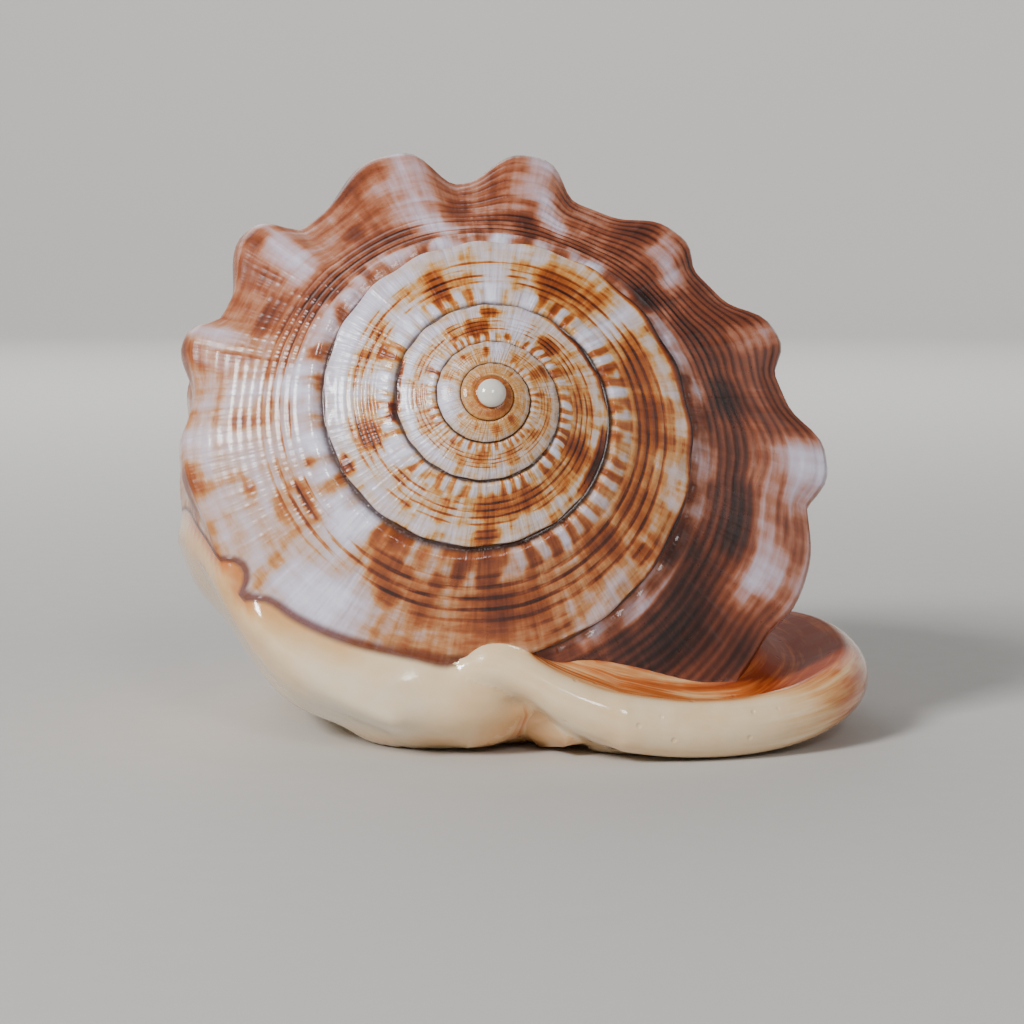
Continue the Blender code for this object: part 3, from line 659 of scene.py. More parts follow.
# %% Helpers for node trees
class Tree:
    """A thin layer over a node tree, to write sums as sums."""

    def __init__(self, tree):
        self.tree = tree

    def node(self, kind, **settings):
        made = self.tree.nodes.new(kind)
        for key, value in settings.items():
            setattr(made, key, value)
        return made

    def plug(self, socket, value):
        if isinstance(value, bpy.types.NodeSocket):
            self.tree.links.new(value, socket)
        elif value is not None:
            socket.default_value = value

    def math(self, operation, a, b=None, c=None):
        made = self.node("ShaderNodeMath", operation=operation)
        for socket, value in zip(made.inputs, (a, b, c)):
            self.plug(socket, value)
        return made.outputs[0]

    def wave(self, turn):
        """1 at every whole turn, -1 half way between."""
        return self.math("COSINE", self.math("MULTIPLY", turn, 2 * math.pi))

    def vector(self, operation, a, b=None, scale=None):
        made = self.node("ShaderNodeVectorMath", operation=operation)
        self.plug(made.inputs[0], a)
        self.plug(made.inputs[1], b)
        if scale is not None:
            self.plug(made.inputs["Scale"], scale)
        return made.outputs[0]

    def combine(self, x, y, z):
        made = self.node("ShaderNodeCombineXYZ")
        for socket, value in zip(made.inputs, (x, y, z)):
            self.plug(socket, value)
        return made.outputs[0]

    def step(self, value, low, high, out_low=0.0, out_high=1.0):
        """Smooth rise of value from low to high."""
        made = self.node("ShaderNodeMapRange", interpolation_type="SMOOTHSTEP")
        for socket, number in zip(made.inputs, (value, low, high, out_low, out_high)):
            self.plug(socket, number)
        return made.outputs[0]


print("helpers for node trees:", [name for name in vars(Tree) if not name.startswith("_")])

# %% Trees that change a mesh
def named(tree, name):
    """Read a number that the mesh carries."""
    made = tree.node("GeometryNodeInputNamedAttribute", data_type="FLOAT")
    made.inputs["Name"].default_value = name
    return made.outputs[0]


def geometry_tree(name, sizes):
    """An empty tree with a geometry in and out, and a named input for each size."""
    group = bpy.data.node_groups.new(name, "GeometryNodeTree")
    group.interface.new_socket(name="Geometry", in_out="INPUT", socket_type="NodeSocketGeometry")
    group.interface.new_socket(name="Geometry", in_out="OUTPUT", socket_type="NodeSocketGeometry")
    for label, value in sizes.items():
        kind = "NodeSocketInt" if isinstance(value, int) else "NodeSocketFloat"
        made = group.interface.new_socket(name=label, in_out="INPUT", socket_type=kind)
        made.default_value = value
    material = group.interface.new_socket(name="Material", in_out="INPUT",
                                          socket_type="NodeSocketMaterial")
    tree = Tree(group)
    source = tree.node("NodeGroupInput")
    return tree, source, {s.name: s.identifier for s in group.interface.items_tree
                          if s.in_out == "INPUT"}


def finish_tree(tree, source, geometry):
    """Make instances real, set the material and put the geometry out."""
    real = tree.node("GeometryNodeRealizeInstances")
    paint = tree.node("GeometryNodeSetMaterial")
    out = tree.node("NodeGroupOutput")
    tree.plug(real.inputs[0], geometry)
    tree.plug(paint.inputs["Geometry"], real.outputs[0])
    tree.plug(paint.inputs["Material"], source.outputs["Material"])
    tree.plug(out.inputs[0], paint.outputs[0])


def run_tree(mesh, tree, keys, sizes, material, name):
    """Run the tree on a mesh and give back a plain mesh."""
    host = bpy.data.objects.new(name, mesh)
    bpy.context.scene.collection.objects.link(host)
    modifier = host.modifiers.new(name, "NODES")
    modifier.node_group = tree.tree
    for label, value in sizes.items():
        modifier[keys[label]] = value
    modifier[keys["Material"]] = material
    ready = host.evaluated_get(bpy.context.evaluated_depsgraph_get())
    plain = bpy.data.meshes.new_from_object(ready)
    plain.name = name
    bpy.data.objects.remove(host, do_unlink=True)
    return plain


# %% Sizes for the growth tree
GROWTH_SIZES = {
    "Seam radius": SUTURE_RHO,
    "Whorl ratio": WHORL_RATIO,
    "Lip angle": math.radians(PHI_LIP),
    "Axis tilt": TILT,
    "Tip height": APEX_Z,
    "Canal bend": CANAL_BEND,
    "Canal bend start": CANAL_BEND_H,
    "Cords": 10.0,
    "Cord height": 0.24,
    "Beads per turn": 46.0,
    "Bead height": 0.42,
    "Rim waves per turn": 19.0,
    "Rim wave height": 0.55,
}
DRIFT_PER_TURN = 9.0      # how fast cords and beads wander with age
CORD_DRIFT, BEAD_DRIFT = 0.5, 2.2


print("named sizes of the growth tree:", len(GROWTH_SIZES))

# %% The growth tree
def growth_tree():
    """Place the sheet in space, then raise its relief."""
    tree, source, keys = geometry_tree("grow_whorls", GROWTH_SIZES)
    get = source.outputs
    age, row = named(tree, "age"), named(tree, "row")
    size = tree.math("MULTIPLY", get["Seam radius"], tree.math("POWER", get["Whorl ratio"], age))
    rho = tree.math("MULTIPLY", named(tree, "out"), size)
    h = tree.math("MULTIPLY", named(tree, "along"), size)
    phi = tree.math("MULTIPLY_ADD", age, 2 * math.pi, get["Lip angle"])
    sine, cosine = tree.math("SINE", get["Axis tilt"]), tree.math("COSINE", get["Axis tilt"])
    up = tree.combine(0.0, sine, cosine)
    axis = tree.combine(0.0, cosine, tree.math("MULTIPLY", sine, -1.0))
    past = tree.math("MAXIMUM", tree.math("SUBTRACT", h, get["Canal bend start"]), 0.0)
    bend = tree.math("MULTIPLY", tree.math("MULTIPLY", past, past), get["Canal bend"])
    lift = tree.math("ADD", tree.math("MULTIPLY", rho, tree.math("COSINE", phi)), bend)
    across = tree.combine(tree.math("MULTIPLY", rho, tree.math("SINE", phi)), 0.0, 0.0)
    spot = tree.vector("ADD", across, tree.vector("SCALE", up, scale=lift))
    spot = tree.vector("ADD", spot, tree.vector("SCALE", axis, scale=h))
    spot = tree.vector("ADD", spot, tree.combine(0.0, 0.0, get["Tip height"]))
    placed = tree.node("GeometryNodeSetPosition")
    tree.plug(placed.inputs["Geometry"], get["Geometry"])
    tree.plug(placed.inputs["Position"], spot)

    drift = tree.node("ShaderNodeTexNoise")
    tree.plug(drift.inputs["Vector"],
              tree.combine(tree.math("MULTIPLY", age, DRIFT_PER_TURN), 0.0, row))
    drift.inputs["Scale"].default_value = 1.0
    drift.inputs["Detail"].default_value = 2.0
    wander = tree.math("SUBTRACT", drift.outputs[0], 0.5)
    cord = tree.wave(tree.math("MULTIPLY_ADD", wander, CORD_DRIFT,
                               tree.math("MULTIPLY", row, get["Cords"])))
    cord = tree.math("MULTIPLY", cord, tree.math("MULTIPLY", named(tree, "cord"),
                                                 tree.math("MULTIPLY", get["Cord height"], 0.5)))
    bead = tree.wave(tree.math("MULTIPLY_ADD", wander, BEAD_DRIFT,
                               tree.math("MULTIPLY", age, get["Beads per turn"])))
    bead = tree.math("MULTIPLY_ADD", bead, 0.5, 0.5)
    bead = tree.math("MULTIPLY", bead, tree.math("MULTIPLY", named(tree, "bead"),
                                                 get["Bead height"]))
    rim = tree.wave(tree.math("MULTIPLY", age, get["Rim waves per turn"]))
    rim = tree.math("MULTIPLY", rim, tree.math("MULTIPLY", named(tree, "rim"),
                                               get["Rim wave height"]))
    relief = tree.math("ADD", tree.math("ADD", cord, bead), rim)
    normal = tree.node("GeometryNodeInputNormal")
    raised = tree.node("GeometryNodeSetPosition")
    tree.plug(raised.inputs["Geometry"], placed.outputs[0])
    tree.plug(raised.inputs["Offset"], tree.vector("SCALE", normal.outputs[0], scale=relief))
    finish_tree(tree, source, raised.outputs[0])
    return tree, keys


# %% Grow the whorls
shell_look = bpy.data.materials.new("glazed_shell")
tree, keys = growth_tree()
whorls = run_tree(sheet_mesh(sheet), tree, keys, GROWTH_SIZES, shell_look, "whorls")
points = np.array([v.co for v in whorls.vertices])
print("whorls grown:", len(whorls.polygons), "faces, box mm",
      points.min(axis=0).round(1), points.max(axis=0).round(1))

# %% [markdown]
# ## The rolled lip
#
# At full size the snail turns the edge of its mouth outwards and thickens it into
# a smooth roll.  The roll is a sweep: a section drawn once, carried along a path,
# with its size changing on the way.  The path starts as a fold high on the front
# of the shell, sinks in an S to the table, runs round the wide brim and ends at
# the canal.  Each row gives x, y, z, the radius of the roll and the height of the
# inner edge.

# %% Path of the lip
LIP_PATH = (
    (-9.5, 9.4, 12.0, 2.4, 11.0), (-5.0, 7.4, 14.0, 3.4, 11.0),
    (-0.6, 5.2, 16.8, 3.8, 10.0), (4.4, 4.2, 16.0, 4.3, 8.6),
    (9.0, 2.6, 12.6, 4.5, 7.4), (12.6, 1.6, 10.3, 5.0, 8.2), (17.0, 0.8, 8.7, 5.1, 7.4),
    (22.5, 0.4, 6.9, 5.1, 5.8), (32.5, 0.6, 5.6, 5.0, 3.8), (43.0, 2.6, 5.4, 5.0, 2.0),
    (53.0, 7.0, 6.4, 5.1, 2.0), (61.0, 14.5, 8.2, 5.2, 2.0), (66.0, 25.0, 9.6, 5.2, 2.0),
    (67.6, 37.0, 11.0, 5.1, 2.0), (66.8, 50.0, 11.8, 5.0, 2.0), (63.5, 64.0, 11.4, 4.9, 2.0),
    (58.0, 78.0, 10.2, 4.8, 2.0), (50.5, 92.0, 8.8, 4.6, 2.2), (41.5, 105.0, 8.2, 4.3, 2.6),
    (32.0, 116.0, 9.0, 4.0, 3.4), (24.0, 124.5, 11.0, 3.7, 4.6), (17.0, 131.5, 14.0, 3.4, 7.0),
    (10.5, 136.5, 17.0, 2.6, 10.0))
LIP_INNER = (   # x, y of the inner edge, one for each row of the path
    (-3.0, 14.0), (0.0, 14.0), (3.0, 14.5), (6.5, 15.0), (9.0, 15.5), (10.5, 16.5), (11.5, 18.5),
    (12.0, 21.5), (12.0, 26.5), (12.0, 32.0), (12.0, 38.5), (12.0, 46.0), (12.0, 54.0),
    (12.0, 62.0), (12.0, 70.5), (12.0, 79.5), (12.0, 88.5), (11.5, 98.0), (11.0, 107.0),
    (10.0, 115.0), (9.0, 122.0), (8.0, 128.5), (4.0, 131.5))
LIP_STATIONS = 248
LIP_PLATE = 7.5           # thickness at the inner edge
BRIM_DIP = 3.4            # depth of the dish inside the roll
ROLL_STEPS = np.radians(np.arange(-70, -271, -8.0))


print("rows of the lip's path:", len(LIP_PATH))

# %% Smooth rows of a table
def columns(values, at):
    """Smooth values between the rows of a table."""
    values = np.asarray(values, float)
    knots = np.arange(len(values))
    return np.stack([spline(at, knots, values[:, c]) for c in range(values.shape[1])], axis=1)


def even_steps(values, count):
    """Row numbers at even distances along a path."""
    dense = np.linspace(0, len(values) - 1, 4001)
    line = columns(np.asarray(values)[:, :3], dense)
    run = np.concatenate([[0], np.cumsum(np.linalg.norm(np.diff(line, axis=0), axis=1))])
    return np.interp(np.linspace(0, run[-1], count), run, dense)


print("the lip changes from row to row in", LIP_STATIONS, "even steps")

# %% Where the whorl's side meets the brim
def outside_whorl(p):
    """Positive where a point lies outside the side of the last whorl."""
    rho, phi, h = measures(p)
    theta = phi - PHI_LIP
    theta = np.where(theta > 0, theta - 360.0, theta)
    rho_k, h_k = shoulder(theta)
    rho0, h0 = suture(theta)
    radius = floor_limit(side_radius(theta, np.maximum(h, h_k)), phi, np.maximum(h, h_k))
    ramp_h = h0 + (h_k - h0) * np.clip((rho - rho0) / (rho_k - rho0), 0, 1)
    return np.maximum(rho - radius, ramp_h - h)


def soften(values, times):
    """Even out a row of numbers."""
    for _ in range(times):
        values[1:-1] = 0.25 * values[:-2] + 0.5 * values[1:-1] + 0.25 * values[2:]
    return values


def brim_walls(path, inner):
    """How far in from the roll the whorl's side rises, at each station."""
    walls = []
    for (x, y, z, r, low), (ix, iy) in zip(path, inner):
        out = np.array([x - ix, y - iy, 0.0])
        width = np.hypot(out[0], out[1])
        reach = np.linspace(0.0, width, 300)
        probe = np.array([x, y, z + r + 1.0]) - reach[:, None] * out / width
        hit = outside_whorl(probe) < 0
        wall = reach[np.argmax(hit)] if hit.any() else width * 0.5
        walls.append(np.clip(wall, 1.2 * r, width - 4.0))
    return soften(np.array(walls), 12)


# %% Section of the lip
def lip_section(width, wall, x, y, z, r, low):
    """Section of the lip: distance in from the roll's centre, and height."""
    flat = 1 - float(smooth(low, 3.0, 9.0))
    rest = float(np.interp(y, (0, 95, 118, 135), (0, 0, 2.5, 9.0)))
    contact = (-0.6) * flat + (z - r + 0.4) * (1 - flat) + rest * flat
    plate = low + LIP_PLATE
    under = [(width, plate), (width, low)]
    knots = [(width, low), (width * 0.72, low * 0.6 + contact * 0.4),
             (min(width * 0.5, 16.0), contact), (min(width * 0.34, 9.0), contact)]
    first = (r * math.cos(ROLL_STEPS[0]), z + r * math.sin(ROLL_STEPS[0]))
    knots.append(first)
    fine = columns(knots, np.linspace(0, len(knots) - 1, 16))[1:-1]
    roll = [(r * math.cos(a), z + r * math.sin(a)) for a in ROLL_STEPS]
    brim = wall - 1.0
    dip = BRIM_DIP * float(smooth(x, 22.0, 54.0) * (1 - smooth(y, 84.0, 108.0)))
    top = [roll[-1], (0.30 * brim, z + r + 0.1 - 0.45 * dip), (0.60 * brim, z + r + 1.1 - dip),
           (0.88 * brim, z + r + 2.8 - 0.8 * dip), (wall + 0.5, z + r + 5.8 - 0.5 * dip)]
    climb = columns(top, np.linspace(0, 4, 17))[1:]
    back = [(min(wall + 3.5, width - 1.0), z + r + 6.6),
            (min(wall + 5.5, width - 0.5), max(plate + 0.5, z + r - 3.0))]
    section = under + [tuple(p) for p in fine] + roll + [tuple(p) for p in climb] + back
    marks = np.concatenate([[-1.2, -1.0], np.linspace(-0.9, -0.1, len(fine)),
                            np.linspace(0.0, 1.0, len(roll)), np.linspace(1.08, 2.0, len(climb)),
                            [2.1, 2.2]])
    return np.array(section), marks


# %% Rings of the lip
def loft(rings):
    """Close a row of rings into one skin with capped ends."""
    count, size = len(rings), len(rings[0])
    points = np.concatenate(rings)
    faces = []
    for i in range(count - 1):
        for j in range(size):
            k = (j + 1) % size
            faces.append((i * size + j, (i + 1) * size + j, (i + 1) * size + k, i * size + k))
    faces.append(tuple(range(size)))
    faces.append(tuple(range(count * size - 1, (count - 1) * size - 1, -1)))
    return points, faces


def lip_rings():
    """Sections along the path, and the places across them."""
    at = even_steps(LIP_PATH, LIP_STATIONS)
    path, inner = columns(LIP_PATH, at), columns(LIP_INNER, at)
    walls = brim_walls(path, inner)
    rings = []
    for (x, y, z, r, low), (ix, iy), wall in zip(path, inner, walls):
        out = np.array([x - ix, y - iy])
        width = np.hypot(*out)
        section, marks = lip_section(width, wall, x, y, z, r, low)
        flat = np.array([x, y]) - section[:, :1] * out / width
        rings.append(np.column_stack([flat, section[:, 1]]))
    return rings, marks


print("points round the section of the lip:", len(lip_rings()[1]))

# %% [markdown]
# ## Groove, chamber and mouth
#
# Between the start of the lip and the shield lies a short groove, where waste
# leaves the living snail.  The living chamber is a horn that follows the last
# turn, and the mouth is a long slit from end to end of the shell.  Solids are
# made for each of them: the groove's wall and the lip are added to the whorls,
# the chamber and the slit are cut from them.

# %% Measures of the groove, the mouth and the chamber
GROOVE_X = (-11.0, -6.0, -2.0, 2.0, 6.0, 10.0, 13.0, 16.0, 20.0)
GROOVE_FRONT_TOP = (7.0, 5.6, 4.9, 4.3, 5.0, 6.0, 7.0, 8.0, 9.0)
GROOVE_FRONT_LOW = (13.0, 10.6, 8.6, 7.6, 7.4, 7.8, 8.6, 9.4, 10.0)
GROOVE_TOP = (12.0, 12.6, 13.0, 13.2, 12.8, 11.0, 9.0, 8.0, 7.5)
GROOVE_LOW = (1.6, 1.2, 0.8, 0.8, 2.3, 3.9, 4.5, 3.6, 1.5)
GROOVE_BACK = 17.0        # y of the wall's far side, inside the shell
SLOT_Y = (18.0, 22.0, 28.0, 45.0, 75.0, 100.0, 114.0, 124.0, 150.0)
SLOT_LEFT = (8.6, 6.4, 4.0, 2.2, 2.2, 2.6, 2.6, 2.2, 2.0)
SLOT_RIGHT = (12.0, 13.4, 14.8, 15.4, 15.4, 13.6, 10.8, 8.6, 8.0)
SLOT_TOP = 13.0           # the mouth is cut up to this height
WALL = 5.5                # shell left outside the chamber
TIP_RHO, TIP_H, TIP_TALL = 2.45, 0.55, 1.5        # radius, place and height of the tip's bead
CHAMBER_BACK, CHAMBER_FRONT = -322.0, 8.0         # its ends, degrees of age
ADDED_AGE = 9.0           # ages above this, in turns, mark what is joined on
# the value of inner on each kind of surface, which the material tells apart
IN_TIP, OUTSIDE, IN_GAP, IN_MOUTH, IN_CHAMBER = -1.0, 0.0, 0.5, 0.6, 1.0


print("mouth from y", SLOT_Y[0], "to", SLOT_Y[-1], "mm")

# %% Groove and chamber
def groove_rings():
    """The wall between the shield and the lip, cut across every few millimetres."""
    rows = np.column_stack([GROOVE_X, GROOVE_FRONT_TOP, GROOVE_FRONT_LOW, GROOVE_TOP, GROOVE_LOW])
    rings = []
    for x, top_y, low_y, top, low in columns(rows, np.linspace(0, len(rows) - 1, 26)):
        t = np.linspace(0, 1, 12)
        y = low_y + (top_y - low_y) * t ** 0.5
        front = np.column_stack([np.full(12, x), y, low + (top - low) * t])
        back = np.array([[x, GROOVE_BACK, top], [x, GROOVE_BACK, low]])
        rings.append(np.vstack([back[1:], front, back[:1]]))
    return rings


def chamber_rings():
    """The living chamber, as sections that follow the last turn."""
    rings = []
    count = 16
    for theta in np.linspace(CHAMBER_BACK, CHAMBER_FRONT, 84):
        wide = float(smooth(theta, CHAMBER_BACK - 60.0, -110.0))
        age = min(theta, 0.0)
        hs = np.linspace(float(shoulder(age)[1]) + 9.0, 62.0 + 58.0 * wide, count)
        phi = theta + PHI_LIP + 360.0
        out = side_radius(np.full_like(hs, age), hs)
        out = floor_limit(out, np.full_like(hs, phi), hs) - WALL
        t = np.linspace(-1, 1, count)
        out = out - 5.0 * np.abs(t) ** 3
        room = out * (0.12 + 0.46 * (1 - wide)) + 3.0 + 2.5 * np.abs(t) ** 3
        room = np.minimum(room, out - 4.0)
        outer = place(out, np.full_like(out, phi), hs)
        rings.append(np.vstack([outer, place(room, np.full_like(out, phi), hs)[::-1]]))
    return rings


print("sections of the chamber:", len(chamber_rings()))

# %% Mouth, tip and table
def slot_rings():
    """The mouth, as sections from its front end to the canal."""
    rings = []
    for y in np.linspace(SLOT_Y[0], SLOT_Y[-1], 150):
        left, right = float(spline(y, SLOT_Y, SLOT_LEFT)), float(spline(y, SLOT_Y, SLOT_RIGHT))
        flare = np.array([4.6, 2.2, 0.8, 0.15, 0.0, 0.0])
        z = np.array([-1.5, 0.4, 1.8, 3.6, 6.5, SLOT_TOP])
        near = float(smooth(y, 18.0, 28.0))
        left_side = np.column_stack([left - flare * near, np.full(6, y), z])
        right_side = np.column_stack([right + flare * near, np.full(6, y), z])
        rings.append(np.vstack([left_side, right_side[::-1]]))
    return rings


def tip_rings():
    """The smooth bead that the snail hatched with, as a dome over the first turn."""
    rings = []
    for a in np.radians(np.linspace(4.0, 176.0, 16)):
        turn = np.linspace(0.0, 360.0, 32, endpoint=False)
        rho = np.full(32, TIP_RHO * math.sin(a))
        h = np.full(32, TIP_H - TIP_TALL * math.cos(a))
        rings.append(place(rho, turn, h))
    return rings


def table_box():
    """All that lies under the table."""
    corners = np.array([(-150, -20), (150, -20), (150, 0), (-150, 0)], float)
    return [np.column_stack([corners[:, 0], np.full(4, y), corners[:, 1]]) for y in (-150.0, 250.0)]


print("sections of the mouth:", len(slot_rings()))

# %% From rings to a closed solid
def solid(name, rings, inner, marks=None):
    """A closed mesh whose faces point out, with the measures that a cut passes on.

    marks are places across a ring, one for each of its points; the age then runs
    from 10 to 11 along the loft.
    """
    points, faces = loft(rings)
    mesh = bpy.data.meshes.new(name)
    mesh.from_pydata(points.tolist(), [], faces)
    work = bmesh.new()
    work.from_mesh(mesh)
    bmesh.ops.recalc_face_normals(work, faces=work.faces)
    if work.calc_volume(signed=True) < 0:
        bmesh.ops.reverse_faces(work, faces=work.faces)
    bmesh.ops.triangulate(work, faces=work.faces)
    work.to_mesh(mesh)
    work.free()
    at = np.zeros(len(mesh.loops), dtype=np.int64)
    mesh.loops.foreach_get("vertex_index", at)
    size = len(rings[0])
    age = ADDED_AGE + 1.0 + (at // size) / (len(rings) - 1)
    across = np.zeros(len(at)) if marks is None else np.asarray(marks)[at % size]
    for measure, values in (("turns", age), ("across", across),
                            ("glaze", np.full(len(at), GLAZED)),
                            ("inner", np.full(len(at), inner))):
        put_attribute(mesh, measure, "CORNER", values)
    mesh.materials.append(shell_look)
    return mesh


# %% [markdown]
# ## Teeth
#
# The lip carries some twenty teeth, and folds like them run over the shield's
# edge.  What the eye reads as a tooth is the stretch between two furrows, so the
# tree scatters spindle-shaped cutters along both edges of the mouth, evenly
# spaced and smaller towards the ends, and one cut takes them all out.

# %% The furrow tree
FURROW_SIZES = {"Count": 22, "Length": 7.0, "Width": 1.15, "Depth": 1.5, "End size": 0.45}


def furrow_tree():
    """Cutters along a line, as long and deep as their place on it asks."""
    tree, source, keys = geometry_tree("mouth_furrows", FURROW_SIZES)
    get = source.outputs
    curve = tree.node("GeometryNodeMeshToCurve")
    tree.plug(curve.inputs[0], get["Geometry"])
    even = tree.node("GeometryNodeResampleCurve")
    tree.plug(even.inputs["Curve"], curve.outputs[0])
    tree.plug(even.inputs["Count"], get["Count"])
    spindle = tree.node("GeometryNodeMeshIcoSphere")
    spindle.inputs["Radius"].default_value = 1.0
    spindle.inputs["Subdivisions"].default_value = 3
    along = tree.node("GeometryNodeSplineParameter")
    middle = tree.math("SINE", tree.math("MULTIPLY", along.outputs["Factor"], math.pi))
    reach = tree.math("MULTIPLY_ADD", tree.math("SUBTRACT", 1.0, get["End size"]), middle,
                      get["End size"])
    shape = tree.combine(tree.math("MULTIPLY", get["Length"], reach), get["Width"],
                         tree.math("MULTIPLY", get["Depth"], reach))
    scatter = tree.node("GeometryNodeInstanceOnPoints")
    tree.plug(scatter.inputs["Points"], even.outputs[0])
    tree.plug(scatter.inputs["Instance"], spindle.outputs["Mesh"])
    tree.plug(scatter.inputs["Scale"], shape)
    finish_tree(tree, source, scatter.outputs[0])
    return tree, keys


# %% Cutters for the furrows
def edge_line(name, xs, shift, height):
    """A line of points along one edge of the mouth."""
    ys = np.linspace(25.0, 110.0, 40)
    x = spline(ys, SLOT_Y, xs) + shift
    mesh = bpy.data.meshes.new(name)
    mesh.from_pydata([(a, b, height) for a, b in zip(x, ys)], [(i, i + 1) for i in range(39)], [])
    return mesh


furrows, furrow_keys = furrow_tree()
lip_furrows = run_tree(edge_line("lip_edge", SLOT_RIGHT, 2.6, 0.9), furrows, furrow_keys,
                       FURROW_SIZES, shell_look, "lip_furrows")
shield_furrows = run_tree(edge_line("shield_edge", SLOT_LEFT, -2.2, 0.7), furrows, furrow_keys,
                          {**FURROW_SIZES, "Length": 6.0, "Depth": 1.2}, shell_look,
                          "shield_furrows")
for mesh in (lip_furrows, shield_furrows):
    for measure, value in (("turns", 20.0), ("across", 0.0), ("glaze", GLAZED),
                           ("inner", IN_GAP)):
        put_attribute(mesh, measure, "CORNER", np.full(len(mesh.loops), value))
print("furrow cutters:", len(lip_furrows.polygons) + len(shield_furrows.polygons), "faces")

# %% [markdown]
# ## Joining and cutting
#
# Every solid is closed, so one Boolean after another is safe.  The solver for
# closed solids is quick and hands the corner measures on to the new faces.

# %% One step of joining or cutting
def cut(base, tool, operation):
    """One Boolean step on plain meshes."""
    a = bpy.data.objects.new("base", base)
    b = bpy.data.objects.new("tool", tool)
    for item in (a, b):
        bpy.context.scene.collection.objects.link(item)
    modifier = a.modifiers.new("step", "BOOLEAN")
    modifier.solver = "MANIFOLD"
    modifier.operation = operation
    modifier.object = b
    ready = a.evaluated_get(bpy.context.evaluated_depsgraph_get())
    plain = bpy.data.meshes.new_from_object(ready)
    bpy.data.objects.remove(a, do_unlink=True)
    bpy.data.objects.remove(b, do_unlink=True)
    return plain


def volume(mesh):
    """Volume in cm3, and the number of edges that aren't shared by two faces."""
    work = bmesh.new()
    work.from_mesh(mesh)
    total = work.calc_volume(signed=True)
    loose = sum(1 for e in work.edges if not e.is_contiguous)
    work.free()
    return round(total / 1000.0, 1), loose


# %% Put the solids together
shell = whorls
print("whorls:", volume(shell))
lip, lip_marks = lip_rings()
STEPS = (
    ("tip", solid("tip", tip_rings(), IN_TIP), "UNION"),
    ("groove", solid("groove", groove_rings(), OUTSIDE), "UNION"),
    ("lip", solid("lip", lip, OUTSIDE, lip_marks), "UNION"),
    ("chamber", solid("chamber", chamber_rings(), IN_CHAMBER), "DIFFERENCE"),
    ("mouth", solid("mouth", slot_rings(), IN_MOUTH), "DIFFERENCE"),
    ("lip furrows", lip_furrows, "DIFFERENCE"),
    ("shield furrows", shield_furrows, "DIFFERENCE"),
    ("table", solid("table", table_box(), OUTSIDE), "DIFFERENCE"),
)
for label, tool, operation in STEPS:
    shell = cut(shell, tool, operation)
    print("after", label + ":", len(shell.polygons), "faces, volume cm3, open edges", volume(shell))

# %% [markdown]
# ## Melting the joins
#
# Callus is laid down wet, so shield, groove wall and lip flow into each other.
# The crease that a union leaves is melted by moving each point towards the mean of
# its neighbours, many times, only in the glaze and only near the join.  The edge
# of the shield and the shoulder near the lip are melted a little in the same way.

# %% Read points and corners
def mesh_points(mesh):
    values = np.zeros(len(mesh.vertices) * 3)
    mesh.vertices.foreach_get("co", values)
    return values.reshape(-1, 3)


def corner_values(mesh, name):
    values = np.zeros(len(mesh.loops))
    mesh.attributes[name].data.foreach_get("value", values)
    return values


def corner_vertices(mesh):
    values = np.zeros(len(mesh.loops), dtype=np.int64)
    mesh.loops.foreach_get("vertex_index", values)
    return values


print("points to move about:", len(mesh_points(shell)))

# %% Melting
MELT_PACE = 0.6           # share of the way to the mean in one round


def melt(mesh, weight, rounds):
    """Move each point towards the mean of its neighbours, as far as its weight says."""
    points = mesh_points(mesh)
    edges = np.zeros(len(mesh.edges) * 2, dtype=np.int64)
    mesh.edges.foreach_get("vertices", edges)
    edges = edges.reshape(-1, 2)
    weight = weight * smooth(points[:, 2], 0.1, 1.2)
    edges = edges[(weight[edges] > 0).any(axis=1)]
    count = len(points)
    near = np.bincount(edges.ravel(), minlength=count).astype(float)
    near[near == 0] = 1.0
    for _ in range(rounds):
        for axis in range(3):
            column = points[:, axis]
            total = np.bincount(edges[:, 0], column[edges[:, 1]], count)
            total = total + np.bincount(edges[:, 1], column[edges[:, 0]], count)
            points[:, axis] = column + MELT_PACE * weight * (total / near - column)
    mesh.vertices.foreach_set("co", points.ravel())
    mesh.update()
    return int((weight > 0).sum())


# %% Where to melt
def at_points(mesh, values):
    """The smallest corner value at each point."""
    result = np.ones(len(mesh.vertices))
    np.minimum.at(result, corner_vertices(mesh), values)
    return result


def join_weight(mesh, low, high, fade):
    """Glaze inside a box with soft sides."""
    glazed = at_points(mesh, smooth(corner_values(mesh, "glaze"), -0.6, 0.8))
    outside = at_points(mesh, 1 - smooth(corner_values(mesh, "inner"), 0.1, 0.4))
    points = mesh_points(mesh)
    gap = np.minimum(points - np.array(low), np.array(high) - points)
    return glazed * outside * np.prod(smooth(gap, 0.0, fade), axis=1)


def edge_weight(mesh):
    """The edge of the shield."""
    depth = corner_values(mesh, "glaze")
    edge = smooth(depth, -2.0, -0.8) * (1 - smooth(depth, 2.0, 4.0))
    return at_points(mesh, edge * (corner_values(mesh, "turns") < ADDED_AGE))


def shoulder_weight(mesh):
    """The shoulder of the last quarter of a turn, where the knobs fade."""
    turns, across = corner_values(mesh, "turns"), corner_values(mesh, "across")
    late = smooth(turns, -0.42, -0.26) * (turns <= 0.001)
    return at_points(mesh, late * smooth(across, 0.80, 0.98) * (1 - smooth(across, 1.06, 1.30)))


